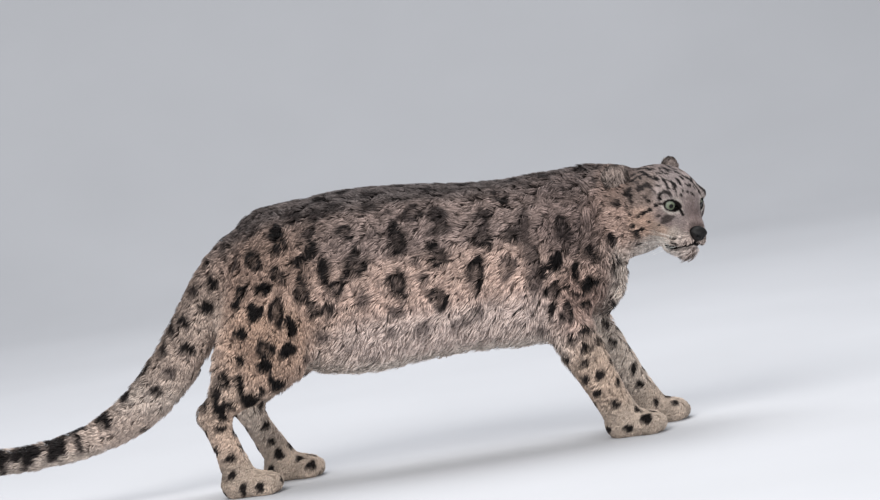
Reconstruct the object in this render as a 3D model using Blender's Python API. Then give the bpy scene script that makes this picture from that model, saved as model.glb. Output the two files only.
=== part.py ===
"""A snow leopard walking with its head turned to its right, as a still, life-size museum model.

Metres, +Z up. The floor is z = 0, the animal faces +X and its left side is +Y.
The origin is on the floor under the middle of the model's bounding box.
"""

import math
import random

import bmesh
import bpy
import numpy as np
from mathutils import Matrix, Vector
from mathutils.bvhtree import BVHTree

GAP = 0.0003
SEED = 11

# Driving sizes of the whole mesh
BODY_VOXEL = 0.0045
FINE_ROUNDS = 6
SOFT_ROUNDS = 60
CORE_TRIANGLES = 3900
HEAD_DETAIL = 1.0

# The middle of the finished model's bounding box on the floor, in the tables' own frame
FLOOR_MIDDLE = Vector((-0.0159, 0.0, 0.0))

# Sides: the animal's left is +Y
LEFT, RIGHT = 1, -1
SIDE_NAMES = {LEFT: "left", RIGHT: "right"}

# Torso stations of the coat's outline: x, top, bottom, half width
TORSO = (
    (-0.150, 0.500, 0.360, 0.056),
    (-0.110, 0.547, 0.300, 0.086),
    (-0.070, 0.561, 0.250, 0.106),
    (0.000, 0.565, 0.212, 0.122),
    (0.090, 0.570, 0.196, 0.138),
    (0.190, 0.565, 0.203, 0.147),
    (0.300, 0.551, 0.208, 0.147),
    (0.400, 0.541, 0.202, 0.142),
    (0.460, 0.543, 0.200, 0.134),
    (0.510, 0.544, 0.212, 0.118),
    (0.545, 0.540, 0.250, 0.090),
)

# Neck stations: x, y, z, half width, above, below
NECK = (
    (0.500, 0.000, 0.410, 0.110, 0.130, 0.120),
    (0.580, -0.004, 0.428, 0.092, 0.120, 0.120),
    (0.640, -0.012, 0.436, 0.074, 0.106, 0.098),
    (0.690, -0.024, 0.438, 0.066, 0.074, 0.084),
)

# Tail stations from the rump to the tip: x, y, z, half thickness
TAIL = (
    (-0.060, 0.000, 0.480, 0.050),
    (-0.110, 0.000, 0.473, 0.056),
    (-0.155, 0.000, 0.446, 0.057),
    (-0.196, 0.001, 0.400, 0.055),
    (-0.238, 0.003, 0.342, 0.053),
    (-0.286, 0.008, 0.278, 0.053),
    (-0.340, 0.016, 0.224, 0.050),
    (-0.407, 0.028, 0.176, 0.043),
    (-0.490, 0.044, 0.143, 0.035),
    (-0.585, 0.062, 0.127, 0.030),
    (-0.680, 0.082, 0.124, 0.029),
    (-0.760, 0.100, 0.133, 0.029),
    (-0.812, 0.112, 0.145, 0.026),
)

# The head is modelled upright about its own centre, nose to +X, then set in this pose
HEAD_PLACE = Vector((0.713, -0.035, 0.451))
HEAD_TURN = math.radians(49.0)
HEAD_NOD = math.radians(18.0)
CAMERA_ROLL = math.radians(8.9)

# Head stations in its own frame: x, top, bottom, half width
SKULL = (
    (-0.072, 0.046, -0.066, 0.062),
    (-0.045, 0.063, -0.084, 0.080),
    (-0.010, 0.073, -0.091, 0.089),
    (0.020, 0.076, -0.088, 0.086),
    (0.045, 0.068, -0.082, 0.074),
    (0.066, 0.051, -0.076, 0.056),
    (0.086, 0.030, -0.071, 0.041),
    (0.106, 0.009, -0.067, 0.035),
    (0.122, -0.006, -0.062, 0.031),
    (0.133, -0.014, -0.055, 0.023),
)
# Ellipsoids of the head: centre x, y, z and radii x, y, z. A y above 0 is made on both sides
HEAD_BALLS = (
    ((-0.012, 0.046, -0.038), (0.066, 0.048, 0.050)),
    ((0.036, 0.048, -0.014), (0.034, 0.027, 0.028)),
    ((0.108, 0.022, -0.042), (0.031, 0.024, 0.022)),
    ((0.112, 0.000, -0.068), (0.024, 0.022, 0.0145)),
    ((0.0642, 0.0368, 0.0204), (0.0182, 0.0182, 0.0182)),
    ((0.054, 0.040, 0.039), (0.022, 0.021, 0.013)),
)
# The bridge of the nose: x, y, z, half width, above, below
BRIDGE = (
    (0.050, 0.000, 0.040, 0.026, 0.018, 0.030),
    (0.080, 0.000, 0.018, 0.020, 0.013, 0.030),
    (0.106, 0.000, -0.004, 0.018, 0.011, 0.025),
    (0.124, 0.000, -0.018, 0.016, 0.009, 0.012),
)
# Eyes: centre of the left one, the way it looks, radius and the opening between the lids
EYE_PLACE = Vector((0.0642, 0.0368, 0.0204))
EYE_AXIS = Vector((0.86, 0.49, 0.10))
EYE_RADIUS = 0.0155
LID_HALF_WIDTH, LID_ABOVE, LID_BELOW = 0.0140, 0.0104, 0.0094
LID_ROUND = 0.0021
TEAR_CORNER = 0.0050

# Nose pad and nostrils: centre and radii
NOSE_PAD = ((0.1300, 0.0, -0.0200), (0.0115, 0.0165, 0.0125))
NOSTRIL = ((0.1410, 0.0080, -0.0225), (0.0060, 0.0034, 0.0026))

# The mouth line from the middle of the lip to the left corner, and the groove's size
MOUTH_LINE = (
    (0.139, 0.000, -0.045),
    (0.137, 0.012, -0.051),
    (0.128, 0.022, -0.061),
    (0.112, 0.030, -0.068),
    (0.096, 0.036, -0.068),
    (0.082, 0.041, -0.064),
)
LIP_GROOVE = 0.0020

# Ears: middle of the base, tip, the way the cup opens
EARS = {
    LEFT: ((-0.044, 0.056, 0.018), (-0.058, 0.064, 0.070), (0.97, 0.12, 0.15)),
    RIGHT: ((-0.036, -0.076, 0.012), (-0.052, -0.100, 0.062), (0.60, -0.72, 0.30)),
}
EAR_HALF_WIDTH = 0.027
EAR_DEPTH = 0.015
EAR_THICKNESS = 0.005

# Legs: for each leg the joints in order, as x, distance from the middle plane, z
HIND_JOINTS = {
    RIGHT: ((-0.085, 0.062, 0.430), (-0.064, 0.092, 0.258), (-0.226, 0.080, 0.172), (-0.196, 0.084, 0.040)),
    LEFT: ((-0.085, 0.062, 0.430), (-0.034, 0.092, 0.256), (-0.166, 0.080, 0.168), (-0.112, 0.084, 0.040)),
}
FORE_JOINTS = {
    RIGHT: ((0.570, 0.070, 0.375), (0.492, 0.086, 0.262), (0.560, 0.078, 0.080), (0.578, 0.078, 0.034)),
    LEFT: ((0.575, 0.070, 0.375), (0.526, 0.086, 0.256), (0.614, 0.074, 0.082), (0.634, 0.074, 0.034)),
}
# Half sizes along each bone, at its start, middle and end: half width, ahead, behind
THIGH = ((0.045, 0.070, 0.070), (0.060, 0.082, 0.090), (0.048, 0.046, 0.066))
SHANK = ((0.044, 0.050, 0.050), (0.038, 0.038, 0.048), (0.026, 0.024, 0.032))
CANNON = ((0.030, 0.028, 0.034), (0.030, 0.029, 0.030), (0.038, 0.034, 0.030))
UPPER_ARM = ((0.050, 0.050, 0.070), (0.050, 0.056, 0.066), (0.044, 0.048, 0.046))
FOREARM = ((0.048, 0.052, 0.058), (0.043, 0.043, 0.046), (0.038, 0.036, 0.036))
PASTERN = ((0.038, 0.036, 0.036), (0.040, 0.038, 0.034), (0.042, 0.040, 0.032))
# The hamstring and calf behind the thigh, down to the hock
SHANK_BACK = ((0.040, 0.060, 0.050), (0.046, 0.055, 0.045), (0.026, 0.026, 0.024))
# Ellipsoids that fill out the shoulder blade, the hip and the breast, on both sides
MUSCLES = (
    ((0.567, 0.018, 0.335), (0.085, 0.072, 0.100)),
    ((0.510, 0.062, 0.420), (0.100, 0.056, 0.115)),
    ((-0.045, 0.056, 0.435), (0.100, 0.058, 0.100)),
)
PAW_LENGTH, PAW_WIDTH = 0.122, 0.100
TOE_COUNT = 4

# How the coat is combed: a place on the animal's left half, the way the hair lies there
COMBING = (
    ((0.700, 0.000, 0.520), (-1.0, 0.0, 0.1)),
    ((0.690, 0.080, 0.470), (-0.9, 0.1, -0.4)),
    ((0.680, 0.050, 0.360), (-0.7, 0.0, -0.7)),
    ((0.600, 0.000, 0.540), (-1.0, 0.0, 0.0)),
    ((0.600, 0.100, 0.450), (-0.8, 0.0, -0.6)),
    ((0.620, 0.000, 0.320), (-0.3, 0.0, -0.95)),
    ((0.500, 0.000, 0.545), (-1.0, 0.0, 0.0)),
    ((0.500, 0.120, 0.430), (-0.75, 0.0, -0.65)),
    ((0.530, 0.120, 0.280), (-0.35, 0.0, -0.94)),
    ((0.300, 0.000, 0.550), (-1.0, 0.0, 0.0)),
    ((0.300, 0.140, 0.420), (-0.85, 0.0, -0.5)),
    ((0.300, 0.140, 0.280), (-0.5, 0.0, -0.85)),
    ((0.300, 0.050, 0.205), (-0.6, 0.2, -0.75)),
    ((0.080, 0.000, 0.570), (-1.0, 0.0, 0.0)),
    ((0.080, 0.130, 0.430), (-0.85, 0.0, -0.5)),
    ((0.080, 0.130, 0.260), (-0.5, 0.0, -0.85)),
    ((0.080, 0.050, 0.200), (-0.6, 0.2, -0.75)),
    ((-0.080, 0.000, 0.540), (-0.9, 0.0, -0.3)),
    ((-0.080, 0.120, 0.420), (-0.6, 0.0, -0.8)),
    ((-0.090, 0.140, 0.280), (-0.35, 0.0, -0.94)),
    ((-0.190, 0.090, 0.300), (-0.5, 0.0, -0.85)),
    ((-0.238, 0.030, 0.342), (-0.62, 0.0, -0.78)),
    ((-0.340, 0.040, 0.224), (-0.75, 0.1, -0.65)),
    ((-0.490, 0.060, 0.143), (-0.97, 0.18, -0.22)),
    ((-0.680, 0.090, 0.124), (-0.98, 0.2, 0.05)),
    ((-0.812, 0.112, 0.145), (-0.97, 0.2, 0.15)),
)
# Where the coat is long: place, reach of the place, depth that locks stand over the core,
# lock length, half width and spacing
LONG_COAT = (
    ((0.260, 0.110, 0.240), (0.270, 0.080, 0.085), 0.024, 0.120, 0.0215, 0.052),
    ((0.260, 0.000, 0.200), (0.270, 0.080, 0.050), 0.020, 0.100, 0.0215, 0.072),
    ((0.030, 0.110, 0.240), (0.060, 0.060, 0.070), 0.018, 0.105, 0.0205, 0.052),
    ((0.550, 0.070, 0.470), (0.080, 0.110, 0.085), 0.015, 0.095, 0.0205, 0.054),
    ((0.635, 0.040, 0.340), (0.060, 0.090, 0.075), 0.017, 0.095, 0.0200, 0.050),
    ((0.470, 0.110, 0.330), (0.060, 0.050, 0.100), 0.012, 0.085, 0.0205, 0.054),
    ((-0.215, 0.090, 0.290), (0.050, 0.050, 0.080), 0.012, 0.085, 0.0195, 0.054),
    ((-0.290, 0.020, 0.270), (0.110, 0.070, 0.110), 0.012, 0.095, 0.0195, 0.054),
    ((-0.520, 0.060, 0.140), (0.180, 0.080, 0.070), 0.011, 0.090, 0.0175, 0.056),
    ((-0.740, 0.100, 0.130), (0.120, 0.070, 0.060), 0.010, 0.080, 0.0155, 0.052),
)
# How the stretch of long coat fades: full up to this reach, none past this one
COAT_FULL, COAT_ENDS = 0.90, 1.50
LEG_COAT_FROM = 0.245
LOCK_THICKNESS = 0.0055
ROOT_DEPTH = 0.012
LOCK_TRIES = 26000

# Cuts: how boxy the limb cushions are and their sides, and the smallest piece kept, in cubic metres
CUSHION = 3.0
CUSHION_SIDES = 10
SMALLEST_PIECE = 2e-6
SHARP_ANGLE = math.radians(50.0)
# Plates that part the body: a point, the normal, half width, half height
SLABS = (
    ((0.652, 0.035, 0.440), (0.87, -0.40, 0.285), 0.190, 0.200),
    ((0.590, 0.000, 0.400), (0.935, 0.000, 0.355), 0.200, 0.230),
    ((0.060, 0.000, 0.380), (1.0, 0.0, 0.0), 0.200, 0.220),
    ((-0.219, 0.000, 0.380), (-1.0, 0.0, -0.04), 0.080, 0.115),
    ((-0.312, 0.011, 0.250), (-0.70, 0.10, -0.70), 0.090, 0.090),
    ((-0.448, 0.035, 0.157), (-0.95, 0.17, -0.28), 0.080, 0.080),
    ((-0.140, -0.085, 0.195), (0.26, 0.0, 0.965), 0.085, 0.115),
    ((-0.110, 0.085, 0.190), (0.26, 0.0, 0.965), 0.085, 0.100),
    ((-0.205, -0.085, 0.078), (0.0, 0.0, 1.0), 0.070, 0.070),
    ((-0.128, 0.085, 0.078), (0.0, 0.0, 1.0), 0.070, 0.070),
    ((0.520, -0.085, 0.193), (0.0, 0.0, 1.0), 0.075, 0.085),
    ((0.550, 0.085, 0.193), (0.0, 0.0, 1.0), 0.075, 0.085),
    ((0.570, -0.085, 0.074), (0.0, 0.0, 1.0), 0.065, 0.065),
    ((0.622, 0.085, 0.074), (0.0, 0.0, 1.0), 0.065, 0.060),
)
# Cushion shapes that part the limbs from the rump and the chest: centre, radii
THIGHS = {
    "thigh_right": ((-0.118, -0.098, 0.310), (0.133, 0.074, 0.135)),
    "thigh_left": ((-0.100, 0.098, 0.310), (0.133, 0.074, 0.135)),
}
UPPER_ARMS = {
    "upper_arm_right": ((0.518, -0.093, 0.280), (0.085, 0.068, 0.110)),
    "upper_arm_left": ((0.540, 0.093, 0.280), (0.085, 0.068, 0.110)),
}
# A point inside each piece
INSIDE_POINTS = {
    "head": (0.735, -0.045, 0.440),
    "neck": (0.620, 0.000, 0.440),
    "torso": (0.330, 0.000, 0.380),
    "rump": (0.000, 0.000, 0.420),
    "tail_root": (-0.248, 0.003, 0.342),
    "tail_upper": (-0.380, 0.022, 0.195),
    "tail_tip": (-0.640, 0.073, 0.127),
    "hind_leg_right": (-0.215, -0.082, 0.140),
    "hind_leg_left": (-0.150, 0.082, 0.140),
    "hind_paw_right": (-0.190, -0.084, 0.030),
    "hind_paw_left": (-0.106, 0.084, 0.030),
    "foreleg_right": (0.535, -0.080, 0.130),
    "foreleg_left": (0.580, 0.078, 0.130),
    "fore_paw_right": (0.584, -0.078, 0.030),
    "fore_paw_left": (0.640, 0.074, 0.030),
}

# Colours of the pieces: an eye, the nose pad, an ear, and all the rest
COLOURS = {
    "eye": (0.55, 0.60, 0.52),
    "nose_pad": (0.16, 0.12, 0.12),
    "ear": (0.45, 0.41, 0.38),
    "coat": (0.60, 0.53, 0.46),
}


def ramp(value, none, full):
    """0 where the value is at none, 1 where it is at full, and held there beyond."""
    return min(1.0, max(0.0, (value - none) / (full - none)))


def smooth_rows(rows, steps):
    """The rows with steps more between each two, on a Catmull-Rom curve through them."""
    points = [np.array(row, float) for row in rows]
    points = [2 * points[0] - points[1], *points, 2 * points[-1] - points[-2]]
    made = []
    for before, a, b, after in zip(points, points[1:], points[2:], points[3:]):
        for step in range(steps):
            t = step / steps
            made.append(
                0.5 * (2 * a + (b - before) * t + (2 * before - 5 * a + 4 * b - after) * t**2
                       + (3 * a - before - 3 * b + after) * t**3)
            )
    made.append(points[-2])
    return made


def face_outward(mesh):
    """Turns the faces of a closed bmesh outward."""
    bmesh.ops.recalc_face_normals(mesh, faces=mesh.faces)
    if volume_of(mesh.faces) < 0:
        bmesh.ops.reverse_faces(mesh, faces=mesh.faces)


def volume_of(faces):
    total = 0.0
    for face in faces:
        first, *rest = [vertex.co for vertex in face.verts]
        for b, c in zip(rest, rest[1:]):
            total += first.dot(b.cross(c)) / 6
    return total


def loft(rings):
    """A closed mesh through rings of equal length, each a list of points, with a rounded cap at both ends."""
    mesh = bmesh.new()
    loops = [[mesh.verts.new(point) for point in ring] for ring in rings]
    for lower, upper in zip(loops, loops[1:]):
        for i in range(len(lower)):
            j = (i + 1) % len(lower)
            mesh.faces.new((lower[i], lower[j], upper[j], upper[i]))
    mesh.faces.new(loops[0][::-1])
    mesh.faces.new(loops[-1])
    face_outward(mesh)
    return mesh


def tube(rows, sides=20, steps=4, roundness=1.0, caps=None, upright=False):
    """A loft along rows of x, y, z, half width, half depth ahead and half depth behind.

    Ahead is across the path in the upright plane: above on a neck, in front on a leg. With
    upright, every ring stands plumb whatever the path's slope.
    """
    rows = smooth_rows(rows, steps)
    centres = [Vector(row[:3]) for row in rows]
    rings = []
    for i, row in enumerate(rows):
        along = (centres[min(i + 1, len(rows) - 1)] - centres[max(i - 1, 0)]).normalized()
        if upright:
            along = Vector((1, 0, 0))
        side = (Vector((0, 1, 0)) - along * along.y).normalized()
        ahead = along.cross(side)
        ring = []
        for k in range(sides):
            angle = 2 * math.pi * k / sides
            c, s = math.cos(angle), math.sin(angle)
            c = math.copysign(abs(c) ** roundness, c)
            s = math.copysign(abs(s) ** roundness, s)
            reach = row[4] if s > 0 else row[5]
            ring.append(centres[i] + side * (c * row[3]) + ahead * (s * reach))
        rings.append(ring)
    first, last = caps or (min(rows[0][3:]), min(rows[-1][3:]))
    starts = round_cap(rings[0], centres[0], centres[0] - centres[1], first)
    ends = round_cap(rings[-1], centres[-1], centres[-1] - centres[-2], last)
    return loft(starts[::-1] + rings + ends)


def round_cap(ring, centre, outward, radius):
    """Rings that close a tube's end as a dome of this height."""
    outward = outward.normalized()
    rings = []
    for angle in (0.45, 0.9, 1.3):
        shift = outward * (radius * math.sin(angle))
        rings.append([centre + (point - centre) * math.cos(angle) + shift for point in ring])
    return rings


def barrel(rows, fullest=0.47, roundness=0.86, caps=(0.04, 0.04), upright=False):
    """A tube along +X from rows of x, top, bottom and half width, widest at a share of its height."""
    made = []
    for x, top, bottom, half_width in rows:
        middle = bottom + fullest * (top - bottom)
        made.append((x, 0.0, middle, half_width, top - middle, middle - bottom))
    return tube(made, sides=28, roundness=roundness, caps=caps, upright=upright)


def ball(centre, radii, sides=20):
    mesh = bmesh.new()
    bmesh.ops.create_uvsphere(mesh, u_segments=sides, v_segments=sides // 2, radius=1.0)
    bmesh.ops.scale(mesh, vec=radii, verts=mesh.verts)
    bmesh.ops.translate(mesh, vec=centre, verts=mesh.verts)
    return mesh


def joined(meshes):
    """One bmesh holding all of these."""
    whole = bmesh.new()
    for mesh in meshes:
        data = bpy.data.meshes.new("part")
        mesh.to_mesh(data)
        mesh.free()
        whole.from_mesh(data)
        bpy.data.meshes.remove(data)
    return whole


def object_of(mesh, name):
    data = bpy.data.meshes.new(name)
    mesh.to_mesh(data)
    mesh.free()
    made = bpy.data.objects.new(name, data)
    bpy.context.scene.collection.objects.link(made)
    return made


def apply_modifiers(obj):
    """Replaces the object's mesh by what its modifiers make of it."""
    graph = bpy.context.evaluated_depsgraph_get()
    data = bpy.data.meshes.new_from_object(obj.evaluated_get(graph))
    old = obj.data
    obj.modifiers.clear()
    obj.data = data
    bpy.data.meshes.remove(old)
    return obj


def head_matrix():
    """From the head's own frame to the model's."""
    turn, nod, roll = HEAD_TURN, HEAD_NOD, CAMERA_ROLL
    ahead = Vector((math.cos(turn) * math.cos(nod), -math.sin(turn) * math.cos(nod), -math.sin(nod)))
    left = Vector((math.sin(turn), math.cos(turn), 0))
    up = ahead.cross(left)
    axes = Matrix((ahead, left, up)).transposed().to_4x4()
    return Matrix.Translation(HEAD_PLACE) @ Matrix.Rotation(roll, 4, "Y") @ axes


def bone(start, end, sizes, bulge=(0.0, 0.0)):
    """A tube between two joints, with the sizes at its start, middle and end."""
    middle = [(a + b) / 2 for a, b in zip(start, end)]
    middle[0] += bulge[0]
    middle[2] += bulge[1]
    return tube([(*start, *sizes[0]), (*middle, *sizes[1]), (*end, *sizes[2])], sides=16, steps=4)


def paw(ball_joint, side):
    """The paw's pad, instep and four toes, ahead of the joint that ends the leg."""
    x, y = ball_joint[0], ball_joint[1]
    forms = [
        ball((x + 0.004, y, 0.026), (0.045, 0.043, 0.036)),
        ball((x + 0.028, y, 0.021), (0.044, PAW_WIDTH / 2 * 0.88, 0.030)),
    ]
    for toe in range(TOE_COUNT):
        share = (toe - (TOE_COUNT - 1) / 2) / ((TOE_COUNT - 1) / 2)
        reach = PAW_LENGTH * (0.50 - 0.10 * share**2)
        forms.append(
            ball((x + reach, y + share * PAW_WIDTH * 0.35, 0.020), (0.030, 0.0150, 0.025), 14)
        )
    return forms


def leg_forms():
    forms = []
    for side in (LEFT, RIGHT):
        for (x, y, z), radii in MUSCLES:
            forms.append(ball((x, side * y, z), radii, 24))
        hip, knee, hock, hind_ball = (
            (x, side * y, z) for x, y, z in HIND_JOINTS[side]
        )
        forms += [bone(hip, knee, THIGH, (-0.010, 0)), bone(knee, hock, SHANK), bone(hock, hind_ball, CANNON)]
        forms.append(ball((hock[0] - 0.008, hock[1], hock[2]), (0.034, 0.027, 0.032)))
        forms.append(bone((hip[0] - 0.045, hip[1] * 0.9, hip[2] - 0.06), (hock[0] + 0.012, hock[1], hock[2] + 0.02), SHANK_BACK))
        forms += paw(hind_ball, side)
        shoulder, elbow, wrist, fore_ball = (
            (x, side * y, z) for x, y, z in FORE_JOINTS[side]
        )
        forms += [bone(shoulder, elbow, UPPER_ARM), bone(elbow, wrist, FOREARM), bone(wrist, fore_ball, PASTERN)]
        forms += paw(fore_ball, side)
    return forms


def head_forms():
    forms = [barrel(SKULL, 0.46, 0.92, (0.025, 0.006)), tube(BRIDGE, caps=(0.01, 0.006))]
    for (x, y, z), radii in HEAD_BALLS:
        for side in (LEFT, RIGHT) if y else (LEFT,):
            forms.append(ball((x, side * y, z), radii))
    return forms


def whole_body():
    """All of the flesh and coat but the ears, as one smooth closed mesh."""
    head = joined(head_forms())
    head.transform(head_matrix())
    tail = tube([(*row, row[3], row[3]) for row in TAIL], sides=18)
    tip = ball(TAIL[-1][:3], (TAIL[-1][3],) * 3)
    body = object_of(joined([barrel(TORSO, upright=True), tube(NECK, sides=24), tail, tip, head, *leg_forms()]), "whole")
    remesh = body.modifiers.new("Remesh", "REMESH")
    remesh.mode = "VOXEL"
    remesh.voxel_size = BODY_VOXEL
    apply_modifiers(body)
    relax(body, "all", lambda point: 1.0, FINE_ROUNDS)
    relax(body, "soft", softness, SOFT_ROUNDS)
    return body


def softness(point):
    """How far the forms melt together at a point: fully on the trunk, hardly on the face and paws."""
    ahead = (point - HEAD_PLACE).length
    head = ramp(ahead, 0.085, 0.165)
    foot = ramp(point.z, 0.07, 0.17)
    tail = max(0.25, ramp(point.x, -0.30, -0.20))
    return min(head, foot, tail)


def relax(body, name, weight_at, rounds):
    """Smooths the object's mesh, at each vertex as much as weight_at says."""
    group = body.vertex_groups.new(name=name)
    for vertex in body.data.vertices:
        group.add((vertex.index,), weight_at(vertex.co), "REPLACE")
    smooth = body.modifiers.new("Smooth", "SMOOTH")
    smooth.factor = 0.5
    smooth.iterations = rounds
    smooth.vertex_group = name
    apply_modifiers(body)


# Coat

def mirrored_distance(point, place, reach):
    """How far a point is from a place on either side of the animal, 1 at the reach's edge."""
    shifted = ((point.x - place[0]) / reach[0], (point.z - place[2]) / reach[2])
    sideways = (abs(point.y) - place[1]) / reach[1]
    return math.sqrt(shifted[0] ** 2 + shifted[1] ** 2 + sideways**2)


def coat_at(point):
    """Depth, length, half width and spacing of the locks at a point, and how much long coat there is."""
    total = np.zeros(4)
    weight = 0.0
    nearest = 9.0
    for place, reach, *sizes in LONG_COAT:
        far = mirrored_distance(point, place, reach)
        nearest = min(nearest, far)
        share = max(1e-6, 1.6 - far) ** 3
        total += share * np.array(sizes)
        weight += share
    amount = ramp(nearest, COAT_ENDS, COAT_FULL)
    face = ramp((point - HEAD_PLACE).length, 0.115, 0.155)
    fore = ramp(point.x, 0.44, 0.49)
    hind = ramp(point.x, 0.01, -0.04) * ramp(point.x, -0.27, -0.24)
    low = ramp(point.z, LEG_COAT_FROM + 0.03, LEG_COAT_FROM)
    bare = max(fore, hind) * low * ramp(abs(point.y), 0.045, 0.075)
    return total / weight, amount * face * (1 - bare)


def lie_at(point, normal):
    """The way the coat lies at a point, along the surface."""
    total = Vector()
    for place, way in COMBING:
        gap = Vector((point.x - place[0], (abs(point.y) - place[1]) * 0.7, point.z - place[2]))
        way = Vector(way).normalized()
        if point.y < 0:
            way.y = -way.y
        total += way / (gap.length_squared + 0.0004) ** 1.5
    total.normalize()
    flat = total - normal * total.dot(normal)
    return flat.normalized() if flat.length > 0.15 else total


def pulled_in(body):
    """Moves the long-haired surface in by the depth that its locks stand out."""
    mesh = bmesh.new()
    mesh.from_mesh(body.data)
    mesh.normal_update()
    shifts = []
    for vertex in mesh.verts:
        sizes, amount = coat_at(vertex.co)
        shifts.append(vertex.normal * (sizes[0] * amount))
    for vertex, shift in zip(mesh.verts, shifts):
        vertex.co -= shift
    mesh.to_mesh(body.data)
    mesh.free()


def lock(rows):
    """A tapered lock, flat beneath, through rows of centre, across, outward, half width and thickness."""
    rings = []
    for centre, across, outward, half_width, thickness in rows[:-1]:
        rings.append([
            centre + across * half_width,
            centre + outward * thickness,
            centre - across * half_width,
        ])
    mesh = bmesh.new()
    loops = [[mesh.verts.new(point) for point in ring] for ring in rings]
    tip = mesh.verts.new(rows[-1][0])
    mesh.faces.new(loops[0])
    for lower, upper in zip(loops, loops[1:]):
        for i in range(3):
            j = (i + 1) % 3
            mesh.faces.new((lower[i], lower[j], upper[j]))
            mesh.faces.new((lower[i], upper[j], upper[i]))
    for i in range(3):
        mesh.faces.new((loops[-1][i], loops[-1][(i + 1) % 3], tip))
    face_outward(mesh)
    return mesh


def lock_at(root, normal, sizes, surface, draw):
    """One lock rooted at this place of the core, bent along the body as the coat is combed."""
    _, length, half_width, _ = sizes
    length *= draw.uniform(0.85, 1.15)
    half_width *= draw.uniform(0.85, 1.12)
    fullness = draw.uniform(0.8, 1.05)
    sway = draw.uniform(-0.28, 0.28)
    bend = draw.uniform(-0.35, 0.35)
    way = lie_at(root, normal)
    way = (way + normal.cross(way) * sway).normalized()
    rows = []
    point, facing = root, normal
    stations = ((0.0, -1.0, 0.60), (0.28, 0.50, 1.0), (0.55, 0.85, 0.92), (0.80, 1.0, 0.55), (1.0, 0.92, 0.0))
    travelled = 0.0
    for share, rise, breadth in stations:
        step = (share - travelled) * length
        travelled = share
        ahead = point + way * step
        near, near_normal = surface.find_nearest(ahead)[:2]
        if near is not None and (near - ahead).length < 0.06:
            free = min(1.0, max(0.0, -near_normal.z)) * share
            point = near.lerp(ahead, 0.75 * free)
            facing = near_normal
        else:
            point = ahead
        coat, amount = coat_at(point)
        height = coat[0] * amount * fullness * rise if rise > 0 else -ROOT_DEPTH
        across = facing.cross(way).normalized()
        rows.append((
            point + facing * height,
            across,
            facing,
            half_width * breadth,
            LOCK_THICKNESS * (0.6 + 0.4 * breadth),
        ))
        way = lie_at(point, facing)
        way = (way + facing.cross(way) * (sway + bend * share)).normalized()
    return lock(rows)


def lock_roots(body, surface, draw):
    """Places for the locks, spread evenly over the long coat, each with its normal and sizes."""
    faces = body.data.polygons
    areas = np.array([face.area for face in faces])
    bounds = np.cumsum(areas) / areas.sum()
    chosen = []
    for _ in range(LOCK_TRIES):
        face = faces[int(np.searchsorted(bounds, draw.random()))]
        point = face.center.copy()
        sizes, amount = coat_at(point)
        if amount < 0.4:
            continue
        spacing = sizes[3]
        if all((point - other[0]).length > (spacing + other[2][3]) / 2 for other in chosen):
            chosen.append((point, face.normal.copy(), sizes))
    return chosen


def grown_locks(body):
    """The locks of the long coat as a list of closed bmeshes."""
    draw = random.Random(SEED)
    surface = BVHTree.FromObject(body, bpy.context.evaluated_depsgraph_get())
    made = []
    for point, normal, sizes in lock_roots(body, surface, draw):
        made.append(lock_at(point, normal, sizes, surface, draw))
    return made


def union_all(body, meshes):
    """Fuses closed meshes onto the body with one Boolean, then drops them."""
    collection = bpy.data.collections.new("locks")
    for mesh in meshes:
        data = bpy.data.meshes.new("lock")
        mesh.to_mesh(data)
        mesh.free()
        collection.objects.link(bpy.data.objects.new("lock", data))
    bpy.context.scene.collection.children.link(collection)
    modifier = body.modifiers.new("Boolean", "BOOLEAN")
    modifier.operation = "UNION"
    modifier.operand_type = "COLLECTION"
    modifier.solver = "MANIFOLD"
    modifier.collection = collection
    apply_modifiers(body)
    for obj in list(collection.objects):
        bpy.data.objects.remove(obj)
    bpy.data.collections.remove(collection)
    keep_largest(body)


# Cuts

def slab(point, normal, half_width, half_height):
    """A plate as thick as the gap, square to the normal, to cut the body through."""
    normal = Vector(normal).normalized()
    across = normal.cross(Vector((0, 0, 1)))
    if across.length < 0.2:
        across = Vector((0, 1, 0))
    across.normalize()
    upward = across.cross(normal)
    mesh = bmesh.new()
    bmesh.ops.create_cube(mesh, size=1.0)
    axes = Matrix((normal * GAP, across * 2 * half_width, upward * 2 * half_height)).transposed().to_4x4()
    mesh.transform(Matrix.Translation(point) @ axes)
    face_outward(mesh)
    return mesh


def cushion(centre, radii):
    """A ball blown up towards its box, as much as CUSHION says."""
    mesh = ball((0, 0, 0), (1, 1, 1), CUSHION_SIDES)
    for vertex in mesh.verts:
        vertex.co /= sum(abs(c) ** CUSHION for c in vertex.co) ** (1 / CUSHION)
    bmesh.ops.triangulate(mesh, faces=mesh.faces, quad_method="FIXED")
    bmesh.ops.scale(mesh, vec=radii, verts=mesh.verts)
    bmesh.ops.translate(mesh, vec=centre, verts=mesh.verts)
    return mesh


def boolean(obj, cutter_mesh, operation="DIFFERENCE", solver="MANIFOLD"):
    """Cuts the object by a mesh, or joins it on, and applies the result."""
    cutter = object_of(cutter_mesh, "cutter")
    modifier = obj.modifiers.new("Boolean", "BOOLEAN")
    modifier.operation = operation
    modifier.solver = solver
    modifier.object = cutter
    apply_modifiers(obj)
    bpy.data.objects.remove(cutter)
    return obj


def islands(mesh):
    """The separate closed surfaces of a bmesh, each as a list of its faces; touching ones count apart."""
    unseen = set(mesh.faces)
    found = []
    while unseen:
        group = [unseen.pop()]
        for face in group:
            for edge in face.edges:
                if len(edge.link_faces) > 2:
                    continue
                for other in edge.link_faces:
                    if other in unseen:
                        unseen.remove(other)
                        group.append(other)
        found.append(group)
    return found


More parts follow.
